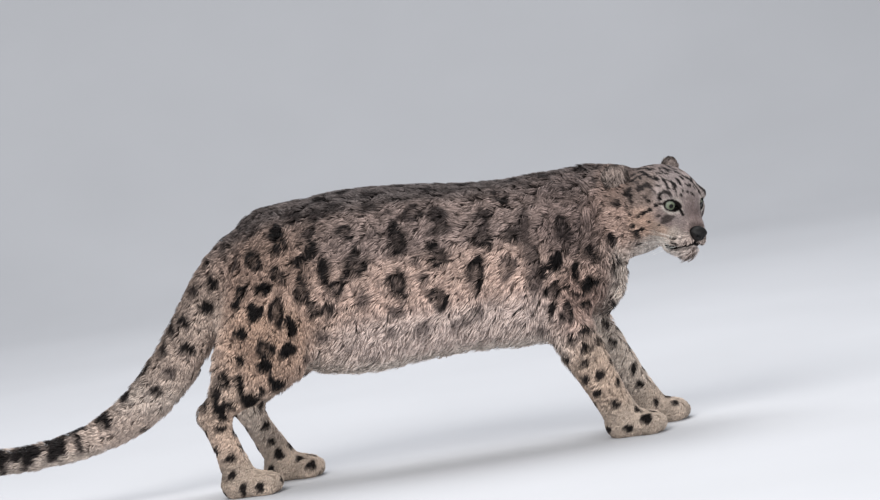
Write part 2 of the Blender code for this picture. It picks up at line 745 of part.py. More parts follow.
def copy_of(faces):
    """A bmesh of these faces alone."""
    mesh = bmesh.new()
    made = {}
    for face in faces:
        for vertex in face.verts:
            if vertex not in made:
                made[vertex] = mesh.verts.new(vertex.co)
        mesh.faces.new([made[vertex] for vertex in face.verts])
    return mesh


def parted(whole, cutters, points):
    """Cuts the object and returns its pieces by name: each is the one its inside point lies in."""
    for cutter in cutters:
        boolean(whole, cutter)
    mesh = bmesh.new()
    mesh.from_mesh(whole.data)
    bpy.data.objects.remove(whole)
    pieces = []
    for group in islands(mesh):
        if volume_of(group) > SMALLEST_PIECE:
            pieces.append(copy_of(group))
    mesh.free()
    named = {}
    for piece in pieces:
        tree = BVHTree.FromBMesh(piece)
        names = [name for name, point in points.items() if hits_above(tree, Vector(point)) % 2]
        if len(names) > 1:
            raise ValueError(f"one piece holds {names}")
        if names:
            named[names[0]] = object_of(piece, names[0])
    missing = set(points) - set(named)
    if missing:
        raise ValueError(f"no piece holds {missing}")
    return named


def limb_cut_from(body, centre, radii):
    """Cuts what lies in a cushion shape out of the body, and returns it as an object."""
    limb = bpy.data.objects.new("limb", body.data.copy())
    bpy.context.scene.collection.objects.link(limb)
    boolean(limb, cushion(centre, radii), "INTERSECT")
    boolean(body, cushion(centre, [radius + GAP for radius in radii]))
    keep_largest(limb)
    keep_largest(body)
    return limb


def keep_largest(obj):
    """Drops all but the largest closed surface of an object."""
    mesh = bmesh.new()
    mesh.from_mesh(obj.data)
    largest = copy_of(max(islands(mesh), key=volume_of))
    largest.to_mesh(obj.data)
    largest.free()
    mesh.free()


def hits_above(tree, point):
    """How often a ray straight up from the point meets the surface."""
    hits = 0
    place = tree.ray_cast(point, Vector((0, 0, 1)))[0]
    while place is not None and hits < 50:
        hits += 1
        place = tree.ray_cast(place + Vector((0, 0, 1e-6)), Vector((0, 0, 1)))[0]
    return hits


# Face

def eye_frame(side):
    """The matrix of an eye: X the way it looks, Y outward along the lids, Z up."""
    ahead = Vector((EYE_AXIS.x, side * EYE_AXIS.y, EYE_AXIS.z)).normalized()
    up = (Vector((0, 0, 1)) - ahead * ahead.z).normalized()
    outward = up.cross(ahead) * side
    place = Vector((EYE_PLACE.x, side * EYE_PLACE.y, EYE_PLACE.z))
    axes = Matrix((ahead, outward, up)).transposed().to_4x4()
    return head_matrix() @ Matrix.Translation(place) @ axes


def lid_outline(steps):
    """The opening between the lids as Y, Z points: outward is the outer corner, which sits higher."""
    points = []
    for step in range(steps):
        angle = 2 * math.pi * step / steps
        y, z = math.cos(angle), math.sin(angle)
        inner = max(0.0, -y) ** 3
        height = LID_ABOVE if z > 0 else LID_BELOW
        points.append((
            y * (LID_HALF_WIDTH + inner * TEAR_CORNER),
            z * height * (1 - 0.55 * inner) + 0.0018 * y - 0.0012 * inner,
        ))
    return points


def on_ball(y, z, radius):
    """The point of a ball's front at this Y and Z, held before its edge."""
    flat = math.hypot(y, z)
    return Vector((math.sqrt(max(radius**2 - flat**2, (0.42 * radius) ** 2)), y, z))


def lid_ring(side):
    """The rim of the lids, a closed tube that lies on the eye."""
    outline = lid_outline(18)
    points = [on_ball(y, z, EYE_RADIUS + 0.0006) for y, z in outline]
    mesh = bmesh.new()
    rings = []
    for i, point in enumerate(points):
        along = (points[(i + 1) % len(points)] - points[i - 1]).normalized()
        outward = (point - along * point.dot(along)).normalized()
        across = along.cross(outward)
        ring = []
        for k in range(6):
            angle = 2 * math.pi * (k + 0.5) / 6
            ring.append(mesh.verts.new(
                point + (across * math.cos(angle) + outward * math.sin(angle)) * LID_ROUND
            ))
        rings.append(ring)
    for i, ring in enumerate(rings):
        after = rings[(i + 1) % len(rings)]
        for k in range(6):
            mesh.faces.new((ring[k], ring[(k + 1) % 6], after[(k + 1) % 6], after[k]))
    mesh.transform(eye_frame(side))
    face_outward(mesh)
    return mesh


def lid_opening(side):
    """A prism that opens the face over the eye."""
    outline = lid_outline(18)
    rings = [[Vector((x, y, z)) for y, z in outline] for x in (0.003, 0.040)]
    mesh = loft(rings)
    mesh.transform(eye_frame(side))
    face_outward(mesh)
    return mesh


def eyeball(side, margin=0.0, sides=18):
    mesh = ball((0, 0, 0), (EYE_RADIUS + margin,) * 3, sides)
    mesh.transform(eye_frame(side) @ Matrix.Rotation(math.pi / 2, 4, "Y"))
    face_outward(mesh)
    return mesh


def groove(points, surface, radius):
    """A thin round tube laid on the surface along these points of the head's frame."""
    matrix = head_matrix()
    rows = []
    for point in smooth_rows(points, 2):
        place = surface.find_nearest(matrix @ Vector(point))[0]
        rows.append((*place, radius, radius))
    mesh = bmesh.new()
    rings = []
    for i, row in enumerate(rows):
        centre = Vector(row[:3])
        along = Vector(rows[min(i + 1, len(rows) - 1)][:3]) - Vector(rows[max(i - 1, 0)][:3])
        along.normalize()
        side = along.cross(Vector((0, 0, 1))).normalized()
        up = side.cross(along)
        rings.append([
            centre + (side * math.cos(math.pi * k / 3) + up * math.sin(math.pi * k / 3)) * radius
            for k in range(6)
        ])
    mesh.free()
    return loft(rings)


def ear(side):
    """A rounded cup with a thick rim, its root sunk in the head."""
    base, tip, opening = (Vector(part) for part in EARS[side])
    up = tip - base
    height = up.length
    up.normalize()
    opening = (opening - up * opening.dot(up)).normalized()
    across = up.cross(opening)
    columns, rows = 8, 6
    mesh = bmesh.new()
    layers = []
    for layer in (0, 1):
        grid = []
        for row in range(rows + 1):
            v = row / rows * 0.985
            half_width = EAR_HALF_WIDTH * (1 - v**4) ** 0.5 * (0.92 + 0.16 * v)
            depth = EAR_DEPTH * (1 - 0.75 * v)
            line = []
            for column in range(columns + 1):
                angle = math.radians(-88 + 176 * column / columns)
                wide = half_width - layer * EAR_THICKNESS * 0.6
                deep = depth - layer * EAR_THICKNESS * (0.3 + 0.7 * math.cos(angle))
                point = (
                    base
                    + up * (height * v - layer * EAR_THICKNESS * 0.7 * v)
                    + across * (wide * math.sin(angle))
                    - opening * (deep * math.cos(angle) - 0.004)
                )
                line.append(mesh.verts.new(point))
            grid.append(line)
        layers.append(grid)
    outer, inner = layers
    for r in range(rows):
        for c in range(columns):
            mesh.faces.new((outer[r][c], outer[r][c + 1], outer[r + 1][c + 1], outer[r + 1][c]))
            mesh.faces.new((inner[r][c], inner[r + 1][c], inner[r + 1][c + 1], inner[r][c + 1]))
    for c in range(columns):
        mesh.faces.new((outer[0][c], inner[0][c], inner[0][c + 1], outer[0][c + 1]))
        mesh.faces.new((outer[rows][c], outer[rows][c + 1], inner[rows][c + 1], inner[rows][c]))
    for r in range(rows):
        mesh.faces.new((outer[r][0], outer[r + 1][0], inner[r + 1][0], inner[r][0]))
        mesh.faces.new((outer[r][columns], inner[r][columns], inner[r + 1][columns], outer[r + 1][columns]))
    face_outward(mesh)
    mesh.transform(head_matrix())
    return mesh


def grown_head(whole, distance):
    """The body's mesh near the head, its surface moved out by this distance."""
    mesh = bmesh.new()
    mesh.from_mesh(whole.data)
    bmesh.ops.triangulate(mesh, faces=mesh.faces)
    mesh.normal_update()
    shifts = {}
    for vertex in mesh.verts:
        shifts[vertex] = vertex.normal * distance * vertex.calc_shell_factor()
    for vertex, shift in shifts.items():
        vertex.co += shift
    return mesh


def shaped_face(whole):
    """Opens the eyes, adds the lids and lips, seats the nose pad; returns the face's own pieces."""
    surface = BVHTree.FromObject(whole, bpy.context.evaluated_depsgraph_get())
    pieces = {}
    mirrored = lambda points, side: [(x, side * y, z) for x, y, z in points]
    for side in (LEFT, RIGHT):
        name = SIDE_NAMES[side]
        boolean(whole, groove(mirrored(MOUTH_LINE, side), surface, LIP_GROOVE))
        boolean(whole, lid_opening(side))
        boolean(whole, lid_ring(side), "UNION")
        boolean(whole, eyeball(side, GAP))
        pieces["eye_" + name] = object_of(eyeball(side), "eye_" + name)
        pieces["ear_" + name] = object_of(ear(side), "ear_" + name)
    for name in ("ear_left", "ear_right"):
        boolean(pieces[name], grown_head(whole, GAP))
    centre, radii = NOSE_PAD
    nose = ball(centre, radii, 12)
    pocket = ball(centre, [radius + GAP for radius in radii], 12)
    for mesh in (nose, pocket):
        mesh.transform(head_matrix())
    boolean(whole, pocket)
    pieces["nose_pad"] = object_of(nose, "nose_pad")
    for side in (LEFT, RIGHT):
        (x, y, z), radii = NOSTRIL
        nostril = ball((x, side * y, z), radii, 8)
        nostril.transform(head_matrix())
        boolean(pieces["nose_pad"], nostril)
    return pieces


def flat_floor(whole):
    """Cuts the soles flat on the floor."""
    mesh = bmesh.new()
    bmesh.ops.create_cube(mesh, size=1.0)
    mesh.transform(Matrix.Translation((0, 0, -0.25)) @ Matrix.Diagonal((3, 2, 0.5, 1)))
    boolean(whole, mesh)


def thinned(body, triangles):
    """Cuts the mesh down to about this many triangles, fewer of them taken from the head."""
    count = sum(len(face.vertices) - 2 for face in body.data.polygons)
    group = body.vertex_groups.new(name="thin")
    for vertex in body.data.vertices:
        head = ramp((vertex.co - HEAD_PLACE).length, 0.09, 0.19)
        group.add((vertex.index,), 0.95 + 0.05 * head, "REPLACE")
    modifier = body.modifiers.new("Decimate", "DECIMATE")
    modifier.ratio = triangles / count
    modifier.vertex_group = "thin"
    modifier.vertex_group_factor = HEAD_DETAIL
    modifier.use_collapse_triangulate = True
    apply_modifiers(body)


def material_of(name):
    """A plain material for one piece."""
    key = name if name in COLOURS else name.split("_")[0]
    colour = COLOURS.get(key, COLOURS["coat"])
    material = bpy.data.materials.new(name)
    material.use_nodes = True
    shader = material.node_tree.nodes["Principled BSDF"]
    shader.inputs["Base Color"].default_value = (*colour, 1.0)
    shader.inputs["Roughness"].default_value = 0.15 if key == "eye" else 0.8
    return material


def main():
    for old in list(bpy.data.objects):
        bpy.data.objects.remove(old)
    whole = whole_body()
    pulled_in(whole)
    locks = grown_locks(whole)
    thinned(whole, CORE_TRIANGLES)
    union_all(whole, locks)
    flat_floor(whole)
    pieces = shaped_face(whole)
    pieces.update(parted(whole, [slab(*place) for place in SLABS], INSIDE_POINTS))
    for name, place in THIGHS.items():
        pieces[name] = limb_cut_from(pieces["rump"], *place)
    for name, place in UPPER_ARMS.items():
        pieces[name] = limb_cut_from(pieces["torso"], *place)
    stand = bpy.data.objects.new("snow_leopard", None)
    bpy.context.scene.collection.objects.link(stand)
    for name, piece in pieces.items():
        piece.name = name
        piece.data.name = name
        piece.data.shade_smooth()
        piece.data.set_sharp_from_angle(angle=SHARP_ANGLE)
        piece.data.materials.clear()
        piece.data.materials.append(material_of(name))
        settle(piece, stand)


def settle(piece, stand):
    """Puts a piece's origin at its middle and hangs it on the stand, which is at the model's origin."""
    corners = [Vector(corner) for corner in piece.bound_box]
    middle = (corners[0] + corners[6]) / 2
    piece.data.transform(Matrix.Translation(-middle))
    piece.location = middle - FLOOR_MIDDLE
    piece.parent = stand


main()
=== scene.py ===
"""The looks of a walking snow leopard: skin, coat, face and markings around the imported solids.

Metres, +Z up. Everything is made in the tables' own frame and moved by BOX_SHIFT at the end.
"""

import math

import bmesh
import bpy
import numpy as np
from mathutils import Matrix, Vector
from mathutils.bvhtree import BVHTree
from mathutils.kdtree import KDTree


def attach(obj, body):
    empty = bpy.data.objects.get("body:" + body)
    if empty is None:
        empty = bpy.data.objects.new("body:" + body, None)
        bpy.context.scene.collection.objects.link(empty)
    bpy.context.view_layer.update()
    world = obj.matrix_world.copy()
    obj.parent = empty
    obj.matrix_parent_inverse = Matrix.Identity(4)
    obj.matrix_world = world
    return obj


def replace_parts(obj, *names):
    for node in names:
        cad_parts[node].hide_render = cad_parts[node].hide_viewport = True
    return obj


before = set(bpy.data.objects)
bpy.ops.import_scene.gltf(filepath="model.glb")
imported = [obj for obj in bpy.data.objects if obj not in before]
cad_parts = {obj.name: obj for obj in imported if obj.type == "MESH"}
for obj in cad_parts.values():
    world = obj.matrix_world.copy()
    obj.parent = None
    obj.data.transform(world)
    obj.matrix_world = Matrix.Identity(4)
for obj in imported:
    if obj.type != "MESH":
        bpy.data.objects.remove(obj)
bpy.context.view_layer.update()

SEED = 11

# How finely the skin is made, and how often its forms are smoothed
BODY_VOXEL = 0.0054
FINE_ROUNDS = 4
SOFT_ROUNDS = 42

# From the tables' frame to the model's: the middle of its bounding box is the origin
BOX_SHIFT = Vector((0.0159, 0.0, 0.0))

# Sides: the animal's left is +Y
LEFT, RIGHT = 1, -1
SIDE_NAMES = {LEFT: "left", RIGHT: "right"}

# Torso stations of the coat's outline: x, top, bottom, half width
TORSO = (
    (-0.15, 0.5, 0.36, 0.056),
    (-0.11, 0.547, 0.3, 0.086),
    (-0.07, 0.561, 0.25, 0.106),
    (0.0, 0.565, 0.212, 0.122),
    (0.09, 0.57, 0.196, 0.138),
    (0.19, 0.565, 0.203, 0.147),
    (0.3, 0.551, 0.208, 0.147),
    (0.4, 0.541, 0.202, 0.142),
    (0.46, 0.543, 0.2, 0.134),
    (0.51, 0.544, 0.212, 0.118),
    (0.545, 0.54, 0.25, 0.09),
)

# Neck stations: x, y, z, half width, above, below
NECK = (
    (0.5, 0.0, 0.41, 0.11, 0.13, 0.12),
    (0.58, -0.004, 0.428, 0.092, 0.12, 0.12),
    (0.64, -0.012, 0.436, 0.074, 0.106, 0.098),
    (0.69, -0.024, 0.438, 0.066, 0.074, 0.084),
)

# Tail stations from the rump to the tip: x, y, z, half thickness
TAIL = (
    (-0.06, 0.0, 0.48, 0.05),
    (-0.11, 0.0, 0.473, 0.056),
    (-0.155, 0.0, 0.446, 0.057),
    (-0.196, 0.001, 0.4, 0.055),
    (-0.238, 0.003, 0.342, 0.053),
    (-0.286, 0.008, 0.278, 0.053),
    (-0.34, 0.016, 0.224, 0.05),
    (-0.407, 0.028, 0.176, 0.043),
    (-0.49, 0.044, 0.143, 0.035),
    (-0.585, 0.062, 0.127, 0.03),
    (-0.68, 0.082, 0.124, 0.029),
    (-0.76, 0.1, 0.133, 0.029),
    (-0.812, 0.112, 0.145, 0.026),
)

# The head is modelled upright about its own centre, nose to +X, then set in this pose
HEAD_PLACE = Vector((0.713, -0.035, 0.451))
HEAD_TURN = math.radians(49.0)
HEAD_NOD = math.radians(18.0)
CAMERA_ROLL = math.radians(8.9)

# Head stations in its own frame: x, top, bottom, half width
SKULL = (
    (-0.072, 0.046, -0.066, 0.062),
    (-0.045, 0.063, -0.084, 0.08),
    (-0.01, 0.073, -0.091, 0.089),
    (0.02, 0.076, -0.088, 0.086),
    (0.045, 0.068, -0.082, 0.074),
    (0.066, 0.046, -0.076, 0.055),
    (0.086, 0.024, -0.071, 0.039),
    (0.106, 0.009, -0.067, 0.035),
    (0.122, -0.006, -0.062, 0.031),
    (0.133, -0.014, -0.055, 0.023),
)
# Ellipsoids of the head: centre x, y, z and radii x, y, z. A y above 0 is made on both sides
HEAD_BALLS = (
    ((-0.012, 0.046, -0.038), (0.066, 0.048, 0.05)),
    ((0.036, 0.048, -0.014), (0.034, 0.027, 0.028)),
    ((0.056, 0.05, 0.002), (0.024, 0.02, 0.03)),
    ((0.11, 0.023, -0.039), (0.03, 0.024, 0.02)),
    ((0.09, 0.022, -0.061), (0.036, 0.02, 0.019)),
    ((0.12, 0.0, -0.071), (0.025, 0.023, 0.017)),
    ((0.0642, 0.0368, 0.0204), (0.0182, 0.0182, 0.0182)),
    ((0.055, 0.047, 0.04), (0.024, 0.02, 0.012)),
)
# The bridge of the nose: x, y, z, half width, above, below
BRIDGE = (
    (0.05, 0.0, 0.036, 0.02, 0.018, 0.03),
    (0.08, 0.0, 0.012, 0.015, 0.012, 0.03),
    (0.106, 0.0, -0.004, 0.018, 0.011, 0.025),
    (0.124, 0.0, -0.018, 0.016, 0.009, 0.012),
)
# Eyes: centre of the left one, the way it looks, radius and the opening between the lids
EYE_PLACE = Vector((0.0642, 0.0368, 0.0204))
EYE_AXIS = Vector((0.94, 0.32, 0.1))
EYE_RADIUS = 0.0155
EYE_CLEARANCE = 0.0004
LID_HALF_WIDTH, LID_ABOVE, LID_BELOW = 0.014, 0.0104, 0.0094
TEAR_CORNER = 0.005

# Nose pad: centre and radii
NOSE_PAD = ((0.127, 0.0, -0.0195), (0.0155, 0.0195, 0.0148))

# The mouth line from the middle of the lip to the left corner, and the groove's size
MOUTH_LINE = (
    (0.14, 0.0, -0.036),
    (0.138, 0.009, -0.041),
    (0.134, 0.02, -0.046),
    (0.127, 0.03, -0.05),
    (0.116, 0.037, -0.054),
    (0.103, 0.04, -0.057),
    (0.09, 0.042, -0.057),
)
LIP_GROOVE = 0.002

# Ears: middle of the base, tip, the way the cup opens
EARS = {
    LEFT: ((-0.044, 0.056, 0.018), (-0.058, 0.064, 0.07), (0.97, 0.12, 0.15)),
    RIGHT: ((-0.036, -0.076, 0.012), (-0.052, -0.1, 0.062), (0.6, -0.72, 0.3)),
}
EAR_HALF_WIDTH = 0.027
EAR_DEPTH = 0.015
EAR_THICKNESS = 0.005

# Legs: for each leg the joints in order, as x, distance from the middle plane, z
HIND_JOINTS = {
    RIGHT: ((-0.085, 0.062, 0.43), (-0.064, 0.092, 0.258), (-0.226, 0.08, 0.172), (-0.196, 0.084, 0.04)),
    LEFT: ((-0.085, 0.062, 0.43), (-0.034, 0.092, 0.256), (-0.166, 0.08, 0.168), (-0.112, 0.084, 0.04)),
}
FORE_JOINTS = {
    RIGHT: ((0.57, 0.07, 0.375), (0.492, 0.086, 0.262), (0.56, 0.078, 0.08), (0.578, 0.078, 0.034)),
    LEFT: ((0.575, 0.07, 0.375), (0.526, 0.086, 0.256), (0.614, 0.074, 0.082), (0.634, 0.074, 0.034)),
}
# Half sizes along each bone, at its start, middle and end: half width, ahead, behind
THIGH = ((0.045, 0.07, 0.07), (0.06, 0.082, 0.09), (0.048, 0.046, 0.066))
SHANK = ((0.044, 0.05, 0.05), (0.038, 0.038, 0.048), (0.026, 0.024, 0.032))
CANNON = ((0.03, 0.028, 0.034), (0.03, 0.029, 0.03), (0.038, 0.034, 0.03))
UPPER_ARM = ((0.05, 0.05, 0.07), (0.05, 0.056, 0.066), (0.044, 0.048, 0.046))
FOREARM = ((0.048, 0.052, 0.058), (0.043, 0.043, 0.046), (0.038, 0.036, 0.036))
PASTERN = ((0.038, 0.036, 0.036), (0.04, 0.038, 0.034), (0.042, 0.04, 0.032))
# The hamstring and calf behind the thigh, down to the hock
SHANK_BACK = ((0.04, 0.06, 0.05), (0.046, 0.055, 0.045), (0.026, 0.026, 0.024))
# Ellipsoids that fill out the shoulder blade, the hip and the breast, on both sides
MUSCLES = (
    ((0.567, 0.018, 0.335), (0.07, 0.072, 0.096)),
    ((0.51, 0.062, 0.42), (0.1, 0.056, 0.115)),
    ((-0.045, 0.056, 0.435), (0.1, 0.058, 0.1)),
)
PAW_LENGTH, PAW_WIDTH = 0.122, 0.1
TOE_COUNT = 4

# How the coat is combed: a place on the animal's left half, the way the hair lies there
COMBING = (
    ((0.7, 0.0, 0.52), (-1.0, 0.0, 0.1)),
    ((0.69, 0.08, 0.47), (-0.9, 0.1, -0.4)),
    ((0.68, 0.05, 0.36), (-0.7, 0.0, -0.7)),
    ((0.6, 0.0, 0.54), (-1.0, 0.0, 0.0)),
    ((0.6, 0.1, 0.45), (-0.8, 0.0, -0.6)),
    ((0.62, 0.0, 0.32), (-0.3, 0.0, -0.95)),
    ((0.5, 0.0, 0.545), (-1.0, 0.0, 0.0)),
    ((0.5, 0.12, 0.43), (-0.75, 0.0, -0.65)),
    ((0.53, 0.12, 0.28), (-0.35, 0.0, -0.94)),
    ((0.3, 0.0, 0.55), (-1.0, 0.0, 0.0)),
    ((0.3, 0.14, 0.42), (-0.85, 0.0, -0.5)),
    ((0.3, 0.14, 0.28), (-0.5, 0.0, -0.85)),
    ((0.3, 0.05, 0.205), (-0.6, 0.2, -0.75)),
    ((0.08, 0.0, 0.57), (-1.0, 0.0, 0.0)),
    ((0.08, 0.13, 0.43), (-0.85, 0.0, -0.5)),
    ((0.08, 0.13, 0.26), (-0.5, 0.0, -0.85)),
    ((0.08, 0.05, 0.2), (-0.6, 0.2, -0.75)),
    ((-0.08, 0.0, 0.54), (-0.9, 0.0, -0.3)),
    ((-0.08, 0.12, 0.42), (-0.6, 0.0, -0.8)),
    ((-0.09, 0.14, 0.28), (-0.35, 0.0, -0.94)),
    ((-0.19, 0.09, 0.3), (-0.5, 0.0, -0.85)),
    ((-0.238, 0.03, 0.342), (-0.62, 0.0, -0.78)),
    ((-0.34, 0.04, 0.224), (-0.75, 0.1, -0.65)),
    ((-0.49, 0.06, 0.143), (-0.97, 0.18, -0.22)),
    ((-0.68, 0.09, 0.124), (-0.98, 0.2, 0.05)),
    ((-0.812, 0.112, 0.145), (-0.97, 0.2, 0.15)),
)
# Depth of the coat over the skin, tuft length, half width of a tuft and tufts to a square
# centimetre: a place on the left half and its reach, then these four
COAT_ZONES = (
    ((0.25, 0.0, 0.56), (0.45, 0.09, 0.06), (0.012, 0.024, 0.00112, 15.7)),
    ((0.25, 0.14, 0.4), (0.35, 0.06, 0.1), (0.014, 0.029, 0.00118, 14.6)),
    ((0.25, 0.12, 0.26), (0.3, 0.06, 0.06), (0.021, 0.039, 0.00136, 13.4)),
    ((0.25, 0.0, 0.2), (0.32, 0.08, 0.04), (0.021, 0.041, 0.00143, 11.2)),
    ((-0.08, 0.04, 0.52), (0.12, 0.08, 0.06), (0.012, 0.023, 0.00112, 15.7)),
    ((-0.1, 0.13, 0.3), (0.12, 0.05, 0.12), (0.01, 0.02, 0.00105, 16.8)),
    ((-0.215, 0.09, 0.29), (0.05, 0.05, 0.08), (0.013, 0.03, 0.00118, 15.7)),
    ((-0.19, 0.085, 0.15), (0.07, 0.05, 0.07), (0.006, 0.02, 0.00087, 22.4)),
    ((-0.15, 0.085, 0.03), (0.1, 0.06, 0.04), (0.0035, 0.012, 0.00068, 29.1)),
    ((0.52, 0.12, 0.43), (0.09, 0.05, 0.09), (0.012, 0.024, 0.00112, 15.7)),
    ((0.52, 0.13, 0.29), (0.07, 0.05, 0.08), (0.01, 0.022, 0.00105, 16.8)),
    ((0.57, 0.08, 0.14), (0.07, 0.05, 0.07), (0.0055, 0.02, 0.00081, 22.4)),
    ((0.62, 0.08, 0.03), (0.09, 0.06, 0.04), (0.0035, 0.012, 0.00068, 29.1)),
    ((0.63, 0.03, 0.34), (0.05, 0.08, 0.08), (0.019, 0.035, 0.0013, 14.6)),
    ((0.61, 0.09, 0.45), (0.06, 0.05, 0.07), (0.016, 0.03, 0.00118, 14.6)),
    ((0.62, 0.0, 0.54), (0.06, 0.05, 0.04), (0.013, 0.023, 0.00112, 15.7)),
    ((-0.25, 0.03, 0.33), (0.08, 0.06, 0.08), (0.014, 0.027, 0.00112, 15.7)),
    ((-0.5, 0.05, 0.14), (0.15, 0.06, 0.05), (0.012, 0.024, 0.00105, 16.8)),
    ((-0.75, 0.1, 0.13), (0.1, 0.06, 0.06), (0.012, 0.026, 0.00105, 16.8)),
)
# The same on the head, in its own frame
HEAD_REACH = 0.03
HEAD_COAT = (
    ((0.124, 0.0, -0.03), (0.0012, 0.0034, 0.00044, 56.0)),
    ((0.112, 0.03, -0.04), (0.0012, 0.0042, 0.00046, 56.0)),
    ((0.095, 0.0, 0.012), (0.0012, 0.0055, 0.00052, 48.0)),
    ((0.12, 0.0, -0.074), (0.0015, 0.0048, 0.0005, 50.0)),
    ((0.13, 0.0, -0.058), (0.0012, 0.0036, 0.00046, 54.0)),
    ((0.075, 0.045, -0.01), (0.0018, 0.008, 0.00064, 42.0)),
    ((0.05, 0.0, 0.062), (0.0025, 0.011, 0.0008, 36.0)),
    ((-0.01, 0.0, 0.075), (0.0035, 0.015, 0.00096, 27.0)),
    ((-0.06, 0.0, 0.055), (0.007, 0.024, 0.0012, 18.0)),
    ((0.045, 0.07, -0.035), (0.004, 0.018, 0.00096, 24.0)),
    ((-0.01, 0.085, -0.05), (0.009, 0.032, 0.00128, 16.5)),
    ((0.05, 0.0, -0.085), (0.006, 0.024, 0.0012, 18.0)),
    ((0.02, 0.07, 0.035), (0.003, 0.013, 0.00088, 27.0)),
    ((-0.055, 0.07, -0.01), (0.009, 0.03, 0.00128, 16.5)),
)
# How the hair lies on the head, in its own frame, its left half standing for both
HEAD_COMBING = (
    ((0.126, 0.0, -0.008), (-0.6, 0.0, 0.8)),
    ((0.1, 0.0, 0.014), (-0.8, 0.0, 0.6)),
    ((0.07, 0.0, 0.05), (-0.65, 0.0, 0.75)),
    ((0.02, 0.0, 0.076), (-1.0, 0.0, 0.05)),
    ((-0.05, 0.0, 0.062), (-1.0, 0.0, -0.3)),
    ((0.134, 0.006, -0.036), (-0.35, 0.92, -0.05)),
    ((0.124, 0.02, -0.04), (-0.6, 0.78, -0.1)),
    ((0.104, 0.038, -0.045), (-0.9, 0.4, -0.1)),
    ((0.126, 0.0, -0.066), (-0.2, 0.0, -1.0)),
    ((0.126, 0.008, -0.078), (-0.3, 0.15, -0.95)),
    ((0.085, 0.03, -0.072), (-0.85, 0.25, -0.45)),
    ((0.085, 0.036, 0.0), (-0.8, 0.5, -0.25)),
    ((0.072, 0.04, 0.042), (-0.6, 0.4, 0.7)),
    ((0.06, 0.062, -0.02), (-0.8, 0.45, -0.4)),
    ((0.03, 0.075, 0.02), (-0.95, 0.25, -0.05)),
    ((0.0, 0.088, -0.035), (-0.8, 0.15, -0.6)),
    ((-0.03, 0.082, -0.07), (-0.65, 0.2, -0.75)),
    ((0.05, 0.0, -0.085), (-0.9, 0.0, -0.4)),
    ((-0.03, 0.06, 0.05), (-0.9, 0.3, 0.15)),
)

# The coat's colour without its markings, as linear red, green and blue
COLOUR_ZONES = (
    ((0.25, 0.0, 0.56), (0.45, 0.08, 0.04), (0.154, 0.129, 0.125)),
    ((0.25, 0.13, 0.47), (0.35, 0.05, 0.05), (0.377, 0.286, 0.257)),
    ((0.25, 0.14, 0.37), (0.33, 0.06, 0.06), (0.659, 0.479, 0.404)),
    ((0.25, 0.13, 0.27), (0.3, 0.06, 0.05), (0.686, 0.552, 0.498)),
    ((0.25, 0.0, 0.2), (0.32, 0.09, 0.04), (0.838, 0.736, 0.658)),
    ((-0.08, 0.0, 0.55), (0.12, 0.06, 0.05), (0.152, 0.125, 0.119)),
    ((-0.08, 0.11, 0.44), (0.11, 0.05, 0.07), (0.419, 0.29, 0.232)),
    ((-0.1, 0.13, 0.3), (0.12, 0.05, 0.1), (0.553, 0.376, 0.284)),
    ((-0.1, 0.03, 0.26), (0.1, 0.04, 0.08), (0.766, 0.654, 0.57)),
    ((-0.19, 0.11, 0.15), (0.07, 0.04, 0.06), (0.714, 0.535, 0.426)),
    ((-0.19, 0.05, 0.15), (0.07, 0.03, 0.06), (0.769, 0.649, 0.559)),
    ((-0.15, 0.085, 0.03), (0.1, 0.06, 0.04), (0.635, 0.512, 0.42)),
    ((0.52, 0.07, 0.53), (0.08, 0.05, 0.04), (0.203, 0.156, 0.145)),
    ((0.52, 0.12, 0.43), (0.08, 0.05, 0.07), (0.29, 0.213, 0.192)),
    ((0.53, 0.13, 0.29), (0.07, 0.05, 0.07), (0.58, 0.398, 0.332)),
    ((0.57, 0.11, 0.14), (0.07, 0.04, 0.07), (0.656, 0.501, 0.398)),
    ((0.57, 0.05, 0.14), (0.07, 0.03, 0.07), (0.769, 0.649, 0.559)),
    ((0.62, 0.08, 0.03), (0.09, 0.06, 0.04), (0.661, 0.538, 0.446)),
    ((0.64, 0.03, 0.33), (0.05, 0.07, 0.07), (0.937, 0.791, 0.69)),
    ((0.61, 0.095, 0.44), (0.05, 0.04, 0.06), (0.287, 0.2, 0.172)),
    ((0.63, 0.0, 0.54), (0.06, 0.05, 0.03), (0.123, 0.096, 0.089)),
    ((-0.26, 0.02, 0.32), (0.07, 0.06, 0.06), (0.611, 0.476, 0.402)),
    ((-0.5, 0.05, 0.16), (0.18, 0.06, 0.03), (0.69, 0.551, 0.473)),
    ((-0.5, 0.05, 0.11), (0.18, 0.06, 0.025), (0.641, 0.541, 0.472)),
)
